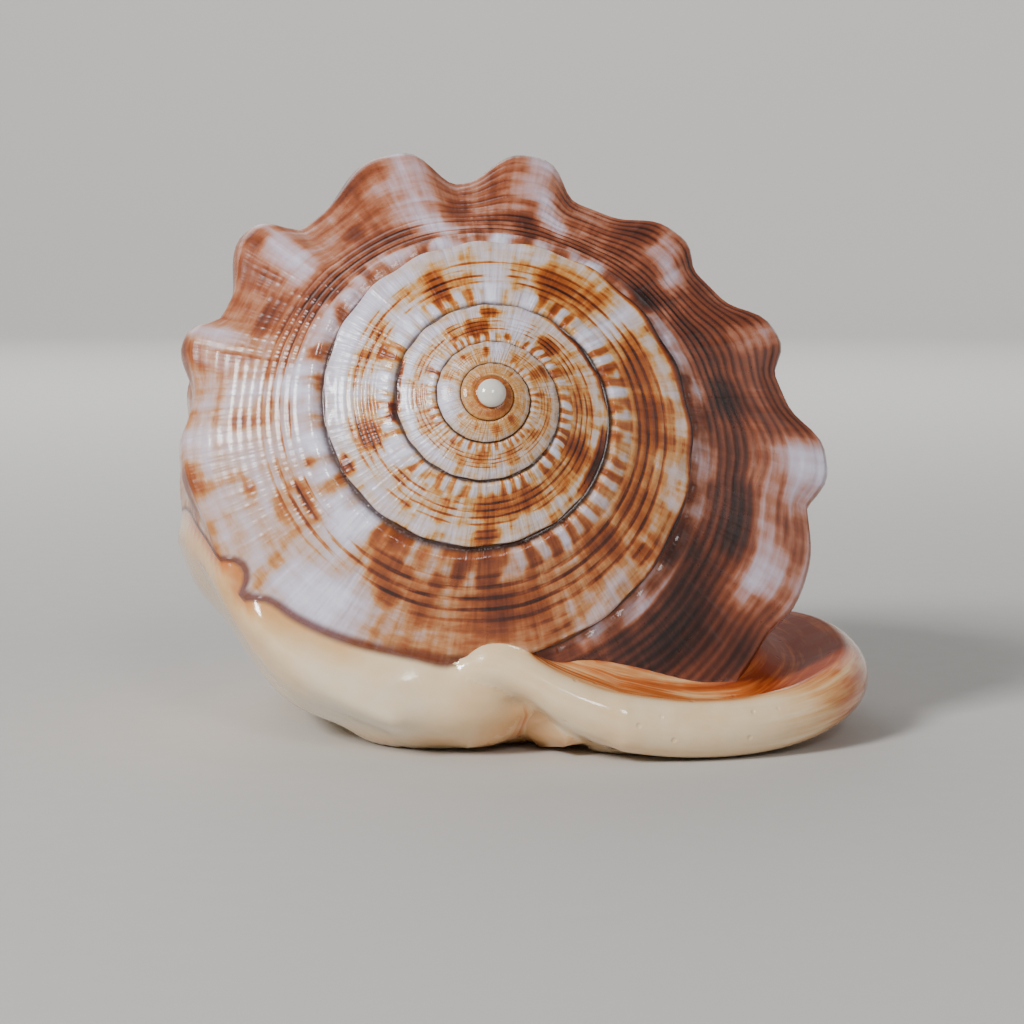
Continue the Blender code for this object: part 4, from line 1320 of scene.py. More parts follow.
# %% Melt the joins of the callus
def cover_low_end(mesh, left, right, back, top):
    """Spread glaze over what is left of the bare whorl in the groove."""
    at = corner_vertices(mesh)
    spots, glaze = mesh_points(mesh)[at], corner_values(mesh, "glaze")
    low = (spots[:, 0] > left) & (spots[:, 0] < right) & (spots[:, 1] < back)
    low = low & (spots[:, 2] < top)
    glaze[low & (corner_values(mesh, "turns") < ADDED_AGE)] = GLAZED
    mesh.attributes["glaze"].data.foreach_set("value", glaze.astype(np.float32))


JOIN_LOW, JOIN_HIGH, JOIN_FADE = (-16.0, -8.0, -1.0), (22.0, 18.0, 23.0), 3.0
JOIN_ROUNDS, EDGE_ROUNDS, SHOULDER_ROUNDS = 38, 6, 14

cover_low_end(shell, 2.0, 26.0, 24.0, 9.0)
print("points melted at the join:",
      melt(shell, join_weight(shell, JOIN_LOW, JOIN_HIGH, JOIN_FADE), JOIN_ROUNDS))
print("points melted at the shield's edge:", melt(shell, edge_weight(shell), EDGE_ROUNDS))
print("points melted at the shoulder:",
      melt(shell, shoulder_weight(shell), SHOULDER_ROUNDS))

# %% [markdown]
# ## Into the frame
#
# The lengths become metres and the shell moves to the middle of its base, where
# the block model has its origin.

# %% Place the shell
SHIFT = np.array([9.394, 67.134, 0.0])     # middle of the base, mm
where = mesh_points(shell)
low, high = np.array(CAD_LOW) / MM + SHIFT, np.array(CAD_HIGH) / MM + SHIFT
print("outside the block model, mm:", (low - where.min(axis=0)).round(2),
      (where.max(axis=0) - high).round(2))
where = np.clip(where, low, high)
shell.vertices.foreach_set("co", ((where - SHIFT) * MM).ravel())
shell.update()
print("shell in the frame, triangles:", sum(len(p.vertices) - 2 for p in shell.polygons))

# %% [markdown]
# ## Where the colour lies
#
# The snail lays pigment at the edge of its mouth and turns single cells on and
# off as it grows, so every mark has an age and a place across the whorl: flames
# run across, lines run along.  The large marks are given in those terms, as
# soft patches: age in turns, place across, half its size in both, and the lean
# of those that lean.  The material then breaks their edges up, so that they read
# as flames.

# %% Patches of pigment
GOLD = (
    (-0.880, 0.45, 0.014, 0.50, -0.07), (-0.872, 0.12, 0.010, 0.15),
    (-0.815, 1.05, 0.005, 0.22), (-0.787, 0.62, 0.013, 0.16), (-0.766, 0.20, 0.009, 0.20),
    (-0.775, 0.50, 0.007, 0.20), (-0.711, 0.28, 0.008, 0.16), (-0.670, 0.20, 0.007, 0.22),
    (-0.763, 0.88, 0.007, 0.08), (-0.717, 0.90, 0.010, 0.11), (-0.611, 0.12, 0.010, 0.16),
    (-0.455, 1.10, 0.018, 0.24), (-0.365, 0.12, 0.007, 0.14), (-0.520, 1.30, 0.012, 0.20),
    (-0.745, 1.55, 0.010, 0.25), (-0.672, 1.50, 0.010, 0.25), (-1.990, 0.25, 0.010, 0.20),
    (-1.922, 0.15, 0.008, 0.20), (-1.903, 0.38, 0.012, 0.07), (-1.868, 0.12, 0.010, 0.10),
    (-1.830, 0.30, 0.011, 0.28), (-1.860, 0.65, 0.010, 0.08), (-1.720, 0.35, 0.012, 0.20),
    (-1.640, 0.20, 0.028, 0.22), (-1.620, 0.45, 0.009, 0.20), (-1.650, 0.50, 0.012, 0.20),
    (-1.570, 0.62, 0.010, 0.09), (-1.483, 0.15, 0.008, 0.20), (-1.443, 0.12, 0.007, 0.14),
    (-1.360, 0.50, 0.010, 0.30), (-1.348, 0.15, 0.006, 0.15), (-1.150, 0.20, 0.010, 0.20),
    (-1.077, 0.40, 0.018, 0.25), (-1.060, 0.12, 0.008, 0.14),
    (-2.945, 0.35, 0.032, 0.30, 0.03), (-2.902, 0.70, 0.015, 0.28),
    (-2.860, 0.18, 0.013, 0.20), (-2.796, 0.18, 0.010, 0.11),
    (-2.715, 0.35, 0.025, 0.22, -0.05), (-2.732, 0.60, 0.014, 0.06),
    (-2.548, 0.33, 0.016, 0.11), (-2.235, 0.35, 0.014, 0.12), (-3.990, 0.40, 0.030, 0.32),
    (-3.900, 0.35, 0.015, 0.25), (-3.810, 0.35, 0.020, 0.20), (-3.690, 0.40, 0.014, 0.20),
    (-3.645, 0.60, 0.024, 0.35), (-3.560, 0.60, 0.014, 0.14), (-3.480, 0.40, 0.020, 0.30),
    (-3.380, 0.35, 0.020, 0.35), (-3.300, 0.50, 0.025, 0.40), (-3.230, 0.30, 0.016, 0.25),
    (-3.110, 0.35, 0.018, 0.25), (-4.600, 0.15, 0.160, 0.16), (-4.080, 0.50, 0.030, 0.50),
    (-4.350, 0.55, 0.015, 0.30))
RUST = (
    (-0.978, 0.55, 0.026, 0.36), (-0.945, 0.20, 0.013, 0.15), (-0.905, 0.15, 0.012, 0.18),
    (-0.892, 0.58, 0.014, 0.15), (-0.790, 0.42, 0.022, 0.07), (-0.615, 0.48, 0.015, 0.16),
    (-0.643, 0.88, 0.020, 0.13), (-0.590, 0.40, 0.009, 0.30), (-0.556, 0.88, 0.013, 0.13),
    (-0.565, 0.12, 0.012, 0.18), (-0.530, 0.48, 0.024, 0.13),
    (-0.435, 0.55, 0.020, 0.30, -0.05), (-0.420, 0.35, 0.015, 0.20),
    (-0.390, 0.40, 0.020, 0.35, -0.05), (-0.335, 0.60, 0.022, 0.60),
    (-0.295, 0.50, 0.022, 0.40, -0.05), (-0.240, 0.70, 0.024, 0.50),
    (-0.185, 0.45, 0.030, 0.30), (-0.120, 0.12, 0.045, 0.12), (-0.480, 0.85, 0.012, 0.25),
    (-0.360, 1.15, 0.018, 0.25), (-0.278, 1.20, 0.014, 0.25), (-0.600, 1.42, 0.010, 0.20),
    (-0.545, 1.50, 0.010, 0.25), (-0.480, 1.55, 0.012, 0.25), (-0.400, 1.55, 0.014, 0.25),
    (-0.330, 1.60, 0.016, 0.30), (-0.255, 1.60, 0.016, 0.30), (-1.965, 0.80, 0.018, 0.18),
    (-1.975, 0.42, 0.032, 0.20), (-1.757, 0.45, 0.024, 0.21), (-1.735, 0.07, 0.018, 0.08),
    (-1.780, 0.88, 0.013, 0.10), (-1.525, 0.40, 0.012, 0.35), (-1.392, 0.50, 0.026, 0.30),
    (-1.380, 0.15, 0.010, 0.15), (-1.235, 0.48, 0.075, 0.21), (-1.268, 0.10, 0.007, 0.12),
    (-1.218, 0.08, 0.008, 0.10), (-1.188, 0.08, 0.006, 0.10), (-1.092, 0.45, 0.014, 0.24),
    (-1.103, 0.75, 0.009, 0.15), (-1.010, 0.60, 0.016, 0.25), (-1.640, 0.30, 0.016, 0.06),
    (-2.643, 0.20, 0.011, 0.20), (-2.680, 0.68, 0.010, 0.12), (-2.490, 0.38, 0.030, 0.26),
    (-2.425, 0.18, 0.010, 0.12), (-2.345, 0.45, 0.029, 0.20, -0.04),
    (-2.285, 0.12, 0.009, 0.15), (-2.145, 0.40, 0.026, 0.40), (-2.105, 0.10, 0.008, 0.12),
    (-2.030, 0.40, 0.030, 0.22), (-2.460, 0.75, 0.020, 0.12), (-3.300, 0.75, 0.020, 0.15),
    (-3.480, 0.55, 0.012, 0.15), (-4.080, 0.30, 0.020, 0.25))
UMBER = (
    (-0.088, 0.70, 0.036, 0.42), (-0.240, 0.55, 0.020, 0.30), (-0.325, 0.30, 0.016, 0.25),
    (-0.165, 0.60, 0.030, 0.20), (-1.270, 0.95, 0.080, 0.06), (-1.130, 0.97, 0.030, 0.04),
    (-1.735, 0.03, 0.018, 0.06), (-2.145, 0.90, 0.040, 0.10), (-2.300, 0.94, 0.060, 0.06),
    (-2.690, 0.92, 0.040, 0.06))
PALE = (
    (-0.835, 0.25, 0.016, 0.20), (-0.855, 0.90, 0.022, 0.20), (-0.745, 0.20, 0.020, 0.20),
    (-0.690, 0.35, 0.012, 0.18), (-0.600, 0.95, 0.010, 0.20), (-0.588, 0.15, 0.008, 0.15),
    (-0.540, 0.15, 0.010, 0.15), (-0.455, 0.15, 0.010, 0.18),
    (-0.410, 0.65, 0.009, 0.25, -0.04), (-0.370, 0.10, 0.008, 0.15),
    (-0.310, 0.20, 0.010, 0.20), (-0.195, 1.25, 0.022, 0.18),
    (-0.500, 0.50, 0.012, 0.30, -0.04), (-0.330, 0.95, 0.010, 0.16),
    (-0.150, 1.02, 0.030, 0.16), (-1.800, 0.20, 0.014, 0.20), (-1.680, 0.18, 0.016, 0.14),
    (-1.590, 0.20, 0.022, 0.18), (-1.640, 0.80, 0.070, 0.12), (-1.460, 0.25, 0.014, 0.24),
    (-1.410, 0.10, 0.010, 0.14), (-1.318, 0.12, 0.012, 0.14), (-1.320, 0.50, 0.012, 0.30),
    (-2.720, 0.72, 0.130, 0.10), (-2.670, 0.20, 0.010, 0.14), (-2.620, 0.18, 0.012, 0.16),
    (-2.410, 0.50, 0.024, 0.25), (-2.120, 0.10, 0.012, 0.10), (-3.740, 0.60, 0.060, 0.35),
    (-3.440, 0.55, 0.022, 0.30))


def patches(rows, turns, across):
    """The strongest of a set of soft patches at each point, 0 to 1."""
    total = np.zeros_like(turns)
    for age, middle, half_age, half_across, *lean in rows:
        slant = lean[0] if lean else 0.0
        a = np.abs(turns - age - (across - middle) * slant) / half_age
        b = np.abs(across - middle) / half_across
        total = np.maximum(total, np.exp(-0.6 * a ** 2.2 - 0.6 * b ** 2.2))
    return total


print("patches set by hand:", sum(map(len, (GOLD, RUST, UMBER, PALE))))

# %% [markdown]
# ## How much pigment
#
# Under the flames lies a slow change, given for three bands of the whorl: beside
# the seam, in the middle, and towards the shoulder.  Flames, ground, knobs and
# pale spots are added up to one number, from 0 for bare white to 1 for almost
# black.  One number is enough, since every mark on the shell is more or less of
# the same pigment: gold where it is thin, rust where it is thick.

# %% Pigment over the shell
GROUND = (      # turn, beside the seam, middle, towards the shoulder
    (-6.00, 0.60, 0.60, 0.58), (-5.00, 0.54, 0.52, 0.46), (-4.70, 0.42, 0.38, 0.36),
    (-4.40, 0.42, 0.36, 0.34), (-4.00, 0.40, 0.35, 0.31), (-3.50, 0.36, 0.35, 0.31),
    (-3.10, 0.36, 0.37, 0.30), (-2.90, 0.32, 0.35, 0.24), (-2.60, 0.30, 0.34, 0.22),
    (-2.30, 0.34, 0.40, 0.28), (-2.05, 0.34, 0.44, 0.34), (-2.00, 0.28, 0.32, 0.26),
    (-1.85, 0.24, 0.30, 0.22), (-1.70, 0.24, 0.33, 0.22), (-1.45, 0.27, 0.36, 0.26),
    (-1.35, 0.32, 0.46, 0.34), (-1.15, 0.34, 0.50, 0.36), (-1.05, 0.35, 0.42, 0.34),
    (-1.00, 0.46, 0.56, 0.48), (-0.90, 0.44, 0.50, 0.40), (-0.86, 0.28, 0.28, 0.22),
    (-0.80, 0.25, 0.32, 0.20), (-0.70, 0.27, 0.36, 0.30), (-0.65, 0.34, 0.50, 0.42),
    (-0.60, 0.38, 0.58, 0.48), (-0.54, 0.38, 0.56, 0.46), (-0.50, 0.36, 0.46, 0.42),
    (-0.46, 0.36, 0.54, 0.46), (-0.40, 0.38, 0.54, 0.50), (-0.36, 0.44, 0.54, 0.52),
    (-0.32, 0.52, 0.72, 0.64), (-0.26, 0.48, 0.72, 0.66), (-0.20, 0.52, 0.74, 0.54),
    (-0.15, 0.55, 0.86, 0.60), (-0.10, 0.48, 1.10, 0.84), (-0.05, 0.42, 0.96, 0.80),
    (0.00, 0.45, 0.60, 0.60))
SIDE_GROUND = ((-1.0, 0.36), (-0.86, 0.28), (-0.74, 0.30), (-0.65, 0.42), (-0.40, 0.52),
               (-0.24, 0.52), (-0.18, 0.34), (-0.10, 0.36), (-0.04, 0.60), (0.0, 0.55))
RUSSET = ((-6.0, 0.0), (-1.30, 0.0), (-1.0, 0.6), (-0.90, 0.5), (-0.84, 0.3), (-0.70, 0.6),
          (-0.62, 0.9), (-0.30, 1.0), (0.0, 1.0))


def ground_pigment(turns, across):
    table = np.array(GROUND)
    band, middle, outer = (np.interp(turns, table[:, 0], table[:, k]) for k in (1, 2, 3))
    level = band + (middle - band) * smooth(across, 0.18, 0.30)
    level = level + (outer - middle) * smooth(across, 0.58, 0.78)
    side = np.interp(turns, *np.array(SIDE_GROUND).T)
    return level + (side - level) * smooth(across, 1.25, 1.60)


print("ground pigment in the middle of the last ramp:",
      round(float(ground_pigment(np.array([-0.1]), np.array([0.5]))[0]), 2))

# %% Pigment of the knobs
def knob_pigment(turns, across, points):
    """Orange on the old flank of each knob, pale at its tip."""
    rho, phi, h = measures(points)
    tall, along = knob_shape(np.where(phi < PHI_LIP, phi + 360.0, phi))
    last = (turns > -1.0) & (turns <= 0.0) & (across > 0.9)
    tall = np.minimum(tall / 5.0, 1.0)
    near = np.exp(-((h - 32.0) / 9.0) ** 2)
    rows = np.exp(-((h - 55.0) / 6.0) ** 2) + np.exp(-((h - 76.0) / 6.0) ** 2)
    flank = np.exp(-((along + 0.75) / 0.45) ** 2) * near
    tip = np.exp(-((along - 0.30) / 0.50) ** 2) * near * tall
    return last * (0.26 * flank + 0.20 * rows * tall - 0.40 * tip)


# %% Add up the pigment
corner_at = corner_vertices(shell)
turns, across = corner_values(shell, "turns"), corner_values(shell, "across")
spots = where[corner_at]
pigment = ground_pigment(turns, across)
for rows, strength in ((GOLD, 0.54), (RUST, 0.74), (UMBER, 1.25)):
    pigment = np.maximum(pigment, strength * patches(rows, turns, across))
pigment = pigment - 0.45 * patches(PALE, turns, across) + knob_pigment(turns, across, spots)
put_attribute(shell, "pigment", "CORNER", pigment)
put_attribute(shell, "russet", "CORNER", np.interp(turns, *np.array(RUSSET).T))
print("share of corners by pigment:", np.histogram(pigment, (0, 0.2, 0.4, 0.6, 0.8, 1.1))[0])

# %% [markdown]
# ## Tint of the glaze
#
# The glaze is ivory where it is thick.  It warms to orange at the far left, along
# the top of the roll, at the far corner of the lip and towards the mouth, and the
# dish inside the brim is a deep orange brown.  The groove between the shield and
# the lip is given painted shade, a darker brown tint.

# %% Glaze tint
GROOVE_SHADE_TINT = 0.50


def glaze_tint(points, turns, across, depth):
    """0 for ivory, 1 for orange brown; the groove gets painted shade."""
    x, y, z = points.T
    lip = turns > ADDED_AGE
    # painted shade: the groove under the fold of the lip is tinted darker brown
    groove = smooth(x, -4.0, 3.0) * (1 - smooth(x, 14.0, 18.0)) * (1 - smooth(y, 16.0, 22.0))
    groove = groove * smooth(y, 3.6, 6.0) * (1 - smooth(z, 11.0, 15.0))
    inside = smooth(across, 0.84, 1.06) * (1 - smooth(across, 2.0, 2.1))
    dish = smooth(x, 34.0, 58.0) * smooth(across, 1.0, 1.2)
    corner = smooth(x, 44.0, 68.0)
    under = 1 - smooth(z, 0.3, 5.0)
    rim = 0.27 + 0.40 * inside + 0.36 * dish * inside + 0.34 * corner + 0.12 * under
    rim = rim + 0.25 * smooth(y, 50.0, 110.0)
    left = smooth(-x, 26.0, 48.0)
    edge = (1 - smooth(depth, 0.1, 1.8)) * (1 - smooth(x, -26.0, -12.0))
    shield = 0.16 + 0.20 * smooth(x, -22.0, 4.0) + 0.28 * left + 0.20 * under
    shield = shield + 0.26 * edge + 0.28 * smooth(y, 40.0, 120.0)
    level = np.where(lip, rim, shield)
    resting = 0.30 + 0.22 * smooth(y, 50.0, 125.0)
    level = level + (resting - level) * (1 - smooth(z, 0.2, 3.0)) * 0.9
    return np.clip(level + (GROOVE_SHADE_TINT - level) * 0.95 * groove, 0, 1)


put_attribute(shell, "tint", "CORNER",
              glaze_tint(spots, turns, across, corner_values(shell, "glaze")))

# %% [markdown]
# ## The finish of the shell
#
# The surface is aragonite with a natural gloss, and the callus is the same mineral
# laid down as a smooth glaze.  One material covers it all.  It reads age and place
# across the whorl from the mesh, so streaks follow the growth lines and the dark
# cord lines fall into the furrows of the relief, which the same noise moves.
# Pigment is built in layers: ground, fine streaks, cord lines, bars between the
# beads, flames, painted shade in the seams, and at last the glaze over everything,
# with a painted shadow along its edge.

# %% Colours
def tone(red, green, blue):
    """A display colour, 0 to 255, as linear light."""
    values = np.array([red, green, blue]) / 255.0
    linear = np.where(values < 0.04045, values / 12.92, ((values + 0.055) / 1.055) ** 2.4)
    return (*[round(float(v), 4) for v in linear], 1.0)


GOLDEN_SCALE = (
    (0.00, tone(228, 228, 242)), (0.15, tone(214, 208, 224)), (0.28, tone(208, 196, 206)),
    (0.42, tone(206, 182, 166)), (0.51, tone(204, 148, 78)), (0.62, tone(180, 98, 30)),
    (0.74, tone(136, 60, 18)), (0.87, tone(86, 34, 14)), (1.00, tone(42, 18, 10)))
RUSSET_SCALE = (
    (0.00, tone(222, 220, 236)), (0.15, tone(208, 198, 214)), (0.28, tone(198, 176, 186)),
    (0.42, tone(188, 144, 138)), (0.52, tone(172, 110, 84)), (0.63, tone(142, 74, 46)),
    (0.76, tone(98, 48, 32)), (0.87, tone(62, 30, 22)), (1.00, tone(28, 15, 12)))
GLAZE_SCALE = (
    (0.00, tone(242, 234, 216)), (0.26, tone(241, 213, 171)), (0.46, tone(230, 178, 118)),
    (0.70, tone(200, 106, 42)), (1.00, tone(146, 56, 14)))
# the first two colours are painted light: shade in the seams, and the shadow just outside the
# glaze's edge
SEAM_SHADE_TONE, RIM_SHADOW_TONE, TOOTH_GAP = tone(56, 29, 24), tone(98, 36, 16), tone(160, 80, 36)
TIP_TONE = tone(224, 218, 206)
INSIDE_SCALE = ((0.30, tone(238, 208, 166)), (0.70, tone(204, 140, 88)))


print("colours of the shell, bare and glazed:",
      len(GOLDEN_SCALE) + len(RUSSET_SCALE) + len(GLAZE_SCALE))

# %% Helpers for the material
class Look(Tree):
    """Shader tree: noises and mixes over the growth measures."""

    def measure(self, name):
        return self.node("ShaderNodeAttribute", attribute_name=name).outputs["Fac"]

    def noise(self, vector, scale=1.0, detail=2.0, roughness=0.5):
        made = self.node("ShaderNodeTexNoise")
        self.plug(made.inputs["Vector"], vector)
        for name, value in (("Scale", scale), ("Detail", detail), ("Roughness", roughness)):
            made.inputs[name].default_value = value
        return made.outputs[0]

    def mix(self, factor, a, b):
        made = self.node("ShaderNodeMix", data_type="RGBA")
        for socket, value in ((0, factor), (6, a), (7, b)):
            self.plug(made.inputs[socket], value)
        return made.outputs[2]

    def rest(self, value):
        """1 less a value."""
        return self.math("SUBTRACT", 1.0, value)

    def sway(self, value, noise, amount):
        """A value moved up and down by a noise."""
        return self.math("MULTIPLY_ADD", self.math("SUBTRACT", noise, 0.5), amount, value)

    def product(self, *values):
        total = values[0]
        for value in values[1:]:
            total = self.math("MULTIPLY", total, value)
        return total

    def scale(self, value, stops):
        """Colour by a number, through a row of stops."""
        made = self.node("ShaderNodeValToRGB")
        ramp = made.color_ramp
        for _ in stops[2:]:
            ramp.elements.new(0.5)
        for element, (position, colour) in zip(ramp.elements, stops):
            element.position, element.color = position, colour
        self.plug(made.inputs[0], value)
        return made.outputs[0]


# %% [markdown]
# ### From pigment to colour
#
# The pigment number is moved by noises that run along the growth lines, raised in
# the furrows between cords and in bars between the beads, and only then turned
# into a colour.  So a flame is gold at its ragged edge and rust inside, and a cord
# line is dark where it crosses a flame and fine where it crosses white.

# %% What the material reads
def report(layer):
    print(layer + ":", len(shell_look.node_tree.nodes), "nodes so far")


shell_look.use_nodes = True
look = Look(shell_look.node_tree)
shader = shell_look.node_tree.nodes["Principled BSDF"]
turns, across = look.measure("turns"), look.measure("across")
glaze, inner = look.measure("glaze"), look.measure("inner")
spot = look.vector("SCALE", look.node("ShaderNodeTexCoord").outputs["Object"],
                   scale=1.0 / MM)
report("measures")

# %% Waves of the cords and beads
# the drift that the relief has, so that lines and furrows keep together
drift = look.noise(look.combine(look.math("MULTIPLY", turns, DRIFT_PER_TURN), 0.0, across))
wander = look.math("SUBTRACT", drift, 0.5)
cord_phase = look.math("MULTIPLY_ADD", wander, CORD_DRIFT,
                       look.math("MULTIPLY", across, GROWTH_SIZES["Cords"]))
cord_wave = look.wave(cord_phase)
bead_phase = look.math("MULTIPLY_ADD", wander, BEAD_DRIFT,
                       look.math("MULTIPLY", turns, GROWTH_SIZES["Beads per turn"]))
bead_wave = look.wave(bead_phase)
report("waves")

# %% Noises that run along the growth lines
def along_growth(per_turn, per_across, seed, detail=2.0, roughness=0.55):
    vector = look.combine(look.math("MULTIPLY", turns, per_turn),
                          look.math("MULTIPLY", across, per_across), seed)
    return look.noise(vector, 1.0, detail, roughness)


fine = along_growth(140.0, 0.9, 1.0, 2.0, 0.5)
streak = along_growth(48.0, 1.1, 5.0, 3.0, 0.6)
ragged = along_growth(22.0, 6.0, 9.0, 4.0, 0.60)
cloud = look.noise(spot, 0.11, 3.0, 0.6)
grain = look.noise(spot, 1.1, 2.0, 0.5)
report("noises")

# %% Masks across the whorl
# the band beside the seam, the middle of the ramp, the side, and the last turn
on_band = look.rest(look.step(across, 0.20, 0.29))
middle = look.product(look.step(across, 0.24, 0.31), look.rest(look.step(across, 0.62, 0.72)))
on_side = look.step(across, 1.30, 1.55)
grown = look.step(turns, -3.9, -2.4)
last = look.step(turns, -1.03, -0.98)
report("masks")

# %% Mottling of the pigment
RAGGED_AMOUNT, STREAK_AMOUNT, BLOTCH_AMOUNT = 0.75, 0.66, 0.9

mottle = 0.0
base = look.measure("pigment")
fine_amount = look.step(base, 0.22, 0.50, 0.40, 0.18)
for noise, amount in ((ragged, RAGGED_AMOUNT), (streak, STREAK_AMOUNT),
                      (fine, fine_amount)):
    mottle = look.sway(mottle, noise, amount)
mottle = look.product(mottle, look.step(turns, -4.8, -2.2, 0.40, 1.0))
pigment = look.math("ADD", base, mottle)
blotch = look.product(look.math("SUBTRACT", cloud, 0.5), on_side, BLOTCH_AMOUNT)
pigment = look.math("ADD", pigment, blotch)
report("mottling")

# %% Bars, beads and blocks beside the seam
BAR_DARK, BEAD_PALE = 0.24, 0.26
KNEE, SQUEEZE = 0.6, 0.48     # pigment above the knee rises at this rate only

patchy = look.step(along_growth(13.0, 0.5, 21.0), 0.36, 0.56, 0.25, 1.0)
patchy = look.product(patchy, look.math("MULTIPLY_ADD", last, -0.75, 1.0))
bars = look.product(look.step(bead_wave, 0.1, -0.7), on_band, grown, patchy, BAR_DARK)
beads = look.product(look.step(bead_wave, -0.1, 0.8), on_band, look.step(across, 0.03, 0.09),
                     grown, patchy, BEAD_PALE)
pigment = look.math("ADD", pigment, look.math("SUBTRACT", bars, beads))
blocks = look.step(along_growth(27.0, 1.3, 31.0, 1.0), 0.42, 0.56, -0.24, 0.20)
block_band = look.rest(look.step(across, 0.26, 0.42))
pigment = look.math("ADD", pigment, look.product(blocks, last, block_band))
deep = look.math("MULTIPLY_ADD", look.math("SUBTRACT", pigment, KNEE), SQUEEZE, KNEE)
pigment = look.math("MINIMUM", pigment, deep)
report("bars and beads")

# %% Cord lines
LINES_IN_MIDDLE, LINES_IN_FLAMES, CREST_PALE = 0.34, 0.18, 0.06

furrow = look.step(cord_wave, -0.05, -0.90)
broken = look.step(along_growth(26.0, 12.0, 17.0), 0.38, 0.60)
heavy = look.step(pigment, 0.34, 0.55)
faint = look.step(turns, -0.52, -0.36, 0.75, 0.0)
faint = look.product(faint, look.step(across, 0.45, 0.80), last)
line = look.math("MAXIMUM", look.product(middle, broken, LINES_IN_MIDDLE),
                 look.product(heavy, LINES_IN_FLAMES))
line = look.product(line, look.step(across, 0.20, 0.28), look.step(turns, -4.0, -2.4, 0.4, 1.0))
line = look.product(line, look.rest(faint), look.step(turns, -0.34, -0.18, 1.0, 0.4))
pigment = look.math("MULTIPLY_ADD", furrow, line, pigment)
crest = look.product(look.step(cord_wave, 0.2, 1.0), look.step(turns, -0.55, -0.15), CREST_PALE)
pigment = look.math("SUBTRACT", pigment, crest)
report("cord lines")

# %% Pigment into colour
level = look.math("MULTIPLY_ADD", pigment, 0.8, 0.2)
colour = look.mix(look.measure("russet"), look.scale(level, GOLDEN_SCALE),
                  look.scale(level, RUSSET_SCALE))
report("colour")

# %% Painted shade in the seams between the whorls
SEAM_WOBBLE, SEAM_SHADE_DARK = 0.06, 0.9

early = look.rest(look.step(turns, -1.05, -1.0))
edge = look.sway(across, ragged, SEAM_WOBBLE)
shadow = look.product(edge, look.step(turns, -0.72, -0.45, 0.7, 2.4),
                      look.math("MULTIPLY_ADD", last, -0.4, 1.4))
# painted shade: the crease of each seam is darkened, as if the rim of the whorl above shaded it
seam = look.math("MAXIMUM", look.step(shadow, 0.052, 0.018),
                 look.product(look.step(edge, 0.955, 0.990), early))
seam = look.product(seam, look.step(turns, -4.9, -4.0), SEAM_SHADE_DARK)
colour = look.mix(seam, colour, SEAM_SHADE_TONE)
report("seams")

# %% [markdown]
# ### Glaze over the pigment
#
# The callus covers the pattern, so its colour is laid over it wherever the mesh
# says that the point is inside the shield or on the lip.  A thin dark line is
# painted just outside the glaze's edge, as the shadow that its thick edge casts.
# The tip, the gaps between the teeth and the inside come last, told apart by the
# measure called inner.

# %% The glaze and the painted shadow round it
GLAZE_CLOUD, RIM_SHADOW_DARK, STRIPES = 0.30, 0.85, 9.0

under = look.step(glaze, -0.45, 0.05)
tint = look.measure("tint")
on_lip = look.step(turns, ADDED_AGE, ADDED_AGE + 0.5)
stripe = look.noise(look.combine(look.math("MULTIPLY", turns, STRIPES),
                                 look.math("MULTIPLY", across, STRIPES), 3.0), 1.0, 3.0, 0.6)
warm = look.sway(tint, cloud, GLAZE_CLOUD)
warm = look.math("MULTIPLY_ADD", look.product(look.math("SUBTRACT", stripe, 0.5), on_lip),
                 look.step(tint, 0.25, 0.60, 0.10, 1.3), warm)
colour = look.mix(under, colour, look.scale(warm, GLAZE_SCALE))
# painted shadow: a dark line just outside the glaze, where its thick edge shades the bare shell
rim_shadow = look.product(look.step(glaze, -1.15, -0.5),
                        look.rest(look.step(glaze, -0.3, 0.2)))
colour = look.mix(look.product(rim_shadow, RIM_SHADOW_DARK), colour, RIM_SHADOW_TONE)
report("glaze")

# %% Tip, teeth and inside
colour = look.mix(look.step(inner, -0.3, -0.6), colour, TIP_TONE)
gaps = look.product(look.step(inner, 0.42, 0.48), look.step(inner, 0.58, 0.52))
colour = look.mix(look.product(gaps, 0.8), colour, TOOTH_GAP)
colour = look.mix(look.step(inner, 0.55, 0.60), colour, look.scale(cloud, INSIDE_SCALE))
look.plug(shader.inputs["Base Color"], colour)
report("tip, teeth and inside")

# %% [markdown]
# ### Gloss and fine relief
#
# Bare shell is worn to a silky gloss that changes with the growth lines.  Glaze is
# polished and gets a clear coat, except in the dish of the lip, which is duller.
# The fine relief is ridges along the growth lines, a slow swell in the glaze and a
# few pits on the lip.

# %% Gloss
WORN_ROUGH, GLAZE_ROUGH, DISH_ROUGHER = 0.31, 0.15, 0.22
BARE_COAT, GLAZE_COAT, DISH_COAT = 0.32, 0.45, -0.77      # the last two are added
SPECULAR, DISH_SPECULAR = 0.40, -0.35

smooth_part = look.math("MAXIMUM", under, look.step(inner, 0.2, 0.3))
worn = look.sway(look.sway(WORN_ROUGH, streak, 0.20), grain, 0.16)
polished = look.sway(GLAZE_ROUGH, cloud, 0.12)
dish = look.product(look.step(tint, 0.55, 0.95), on_lip)
polished = look.math("MULTIPLY_ADD", dish, DISH_ROUGHER, polished)
rough = look.node("ShaderNodeMix", data_type="FLOAT")
for socket, value in ((0, smooth_part), (2, worn), (3, polished)):
    look.plug(rough.inputs[socket], value)
look.plug(shader.inputs["Roughness"], rough.outputs[0])
coat = look.math("MULTIPLY_ADD", smooth_part, GLAZE_COAT, BARE_COAT)
look.plug(shader.inputs["Coat Weight"], look.math("MULTIPLY_ADD", dish, DISH_COAT, coat))
look.plug(shader.inputs["Specular IOR Level"],
          look.math("MULTIPLY_ADD", dish, DISH_SPECULAR, SPECULAR))
shader.inputs["Coat Roughness"].default_value = 0.07
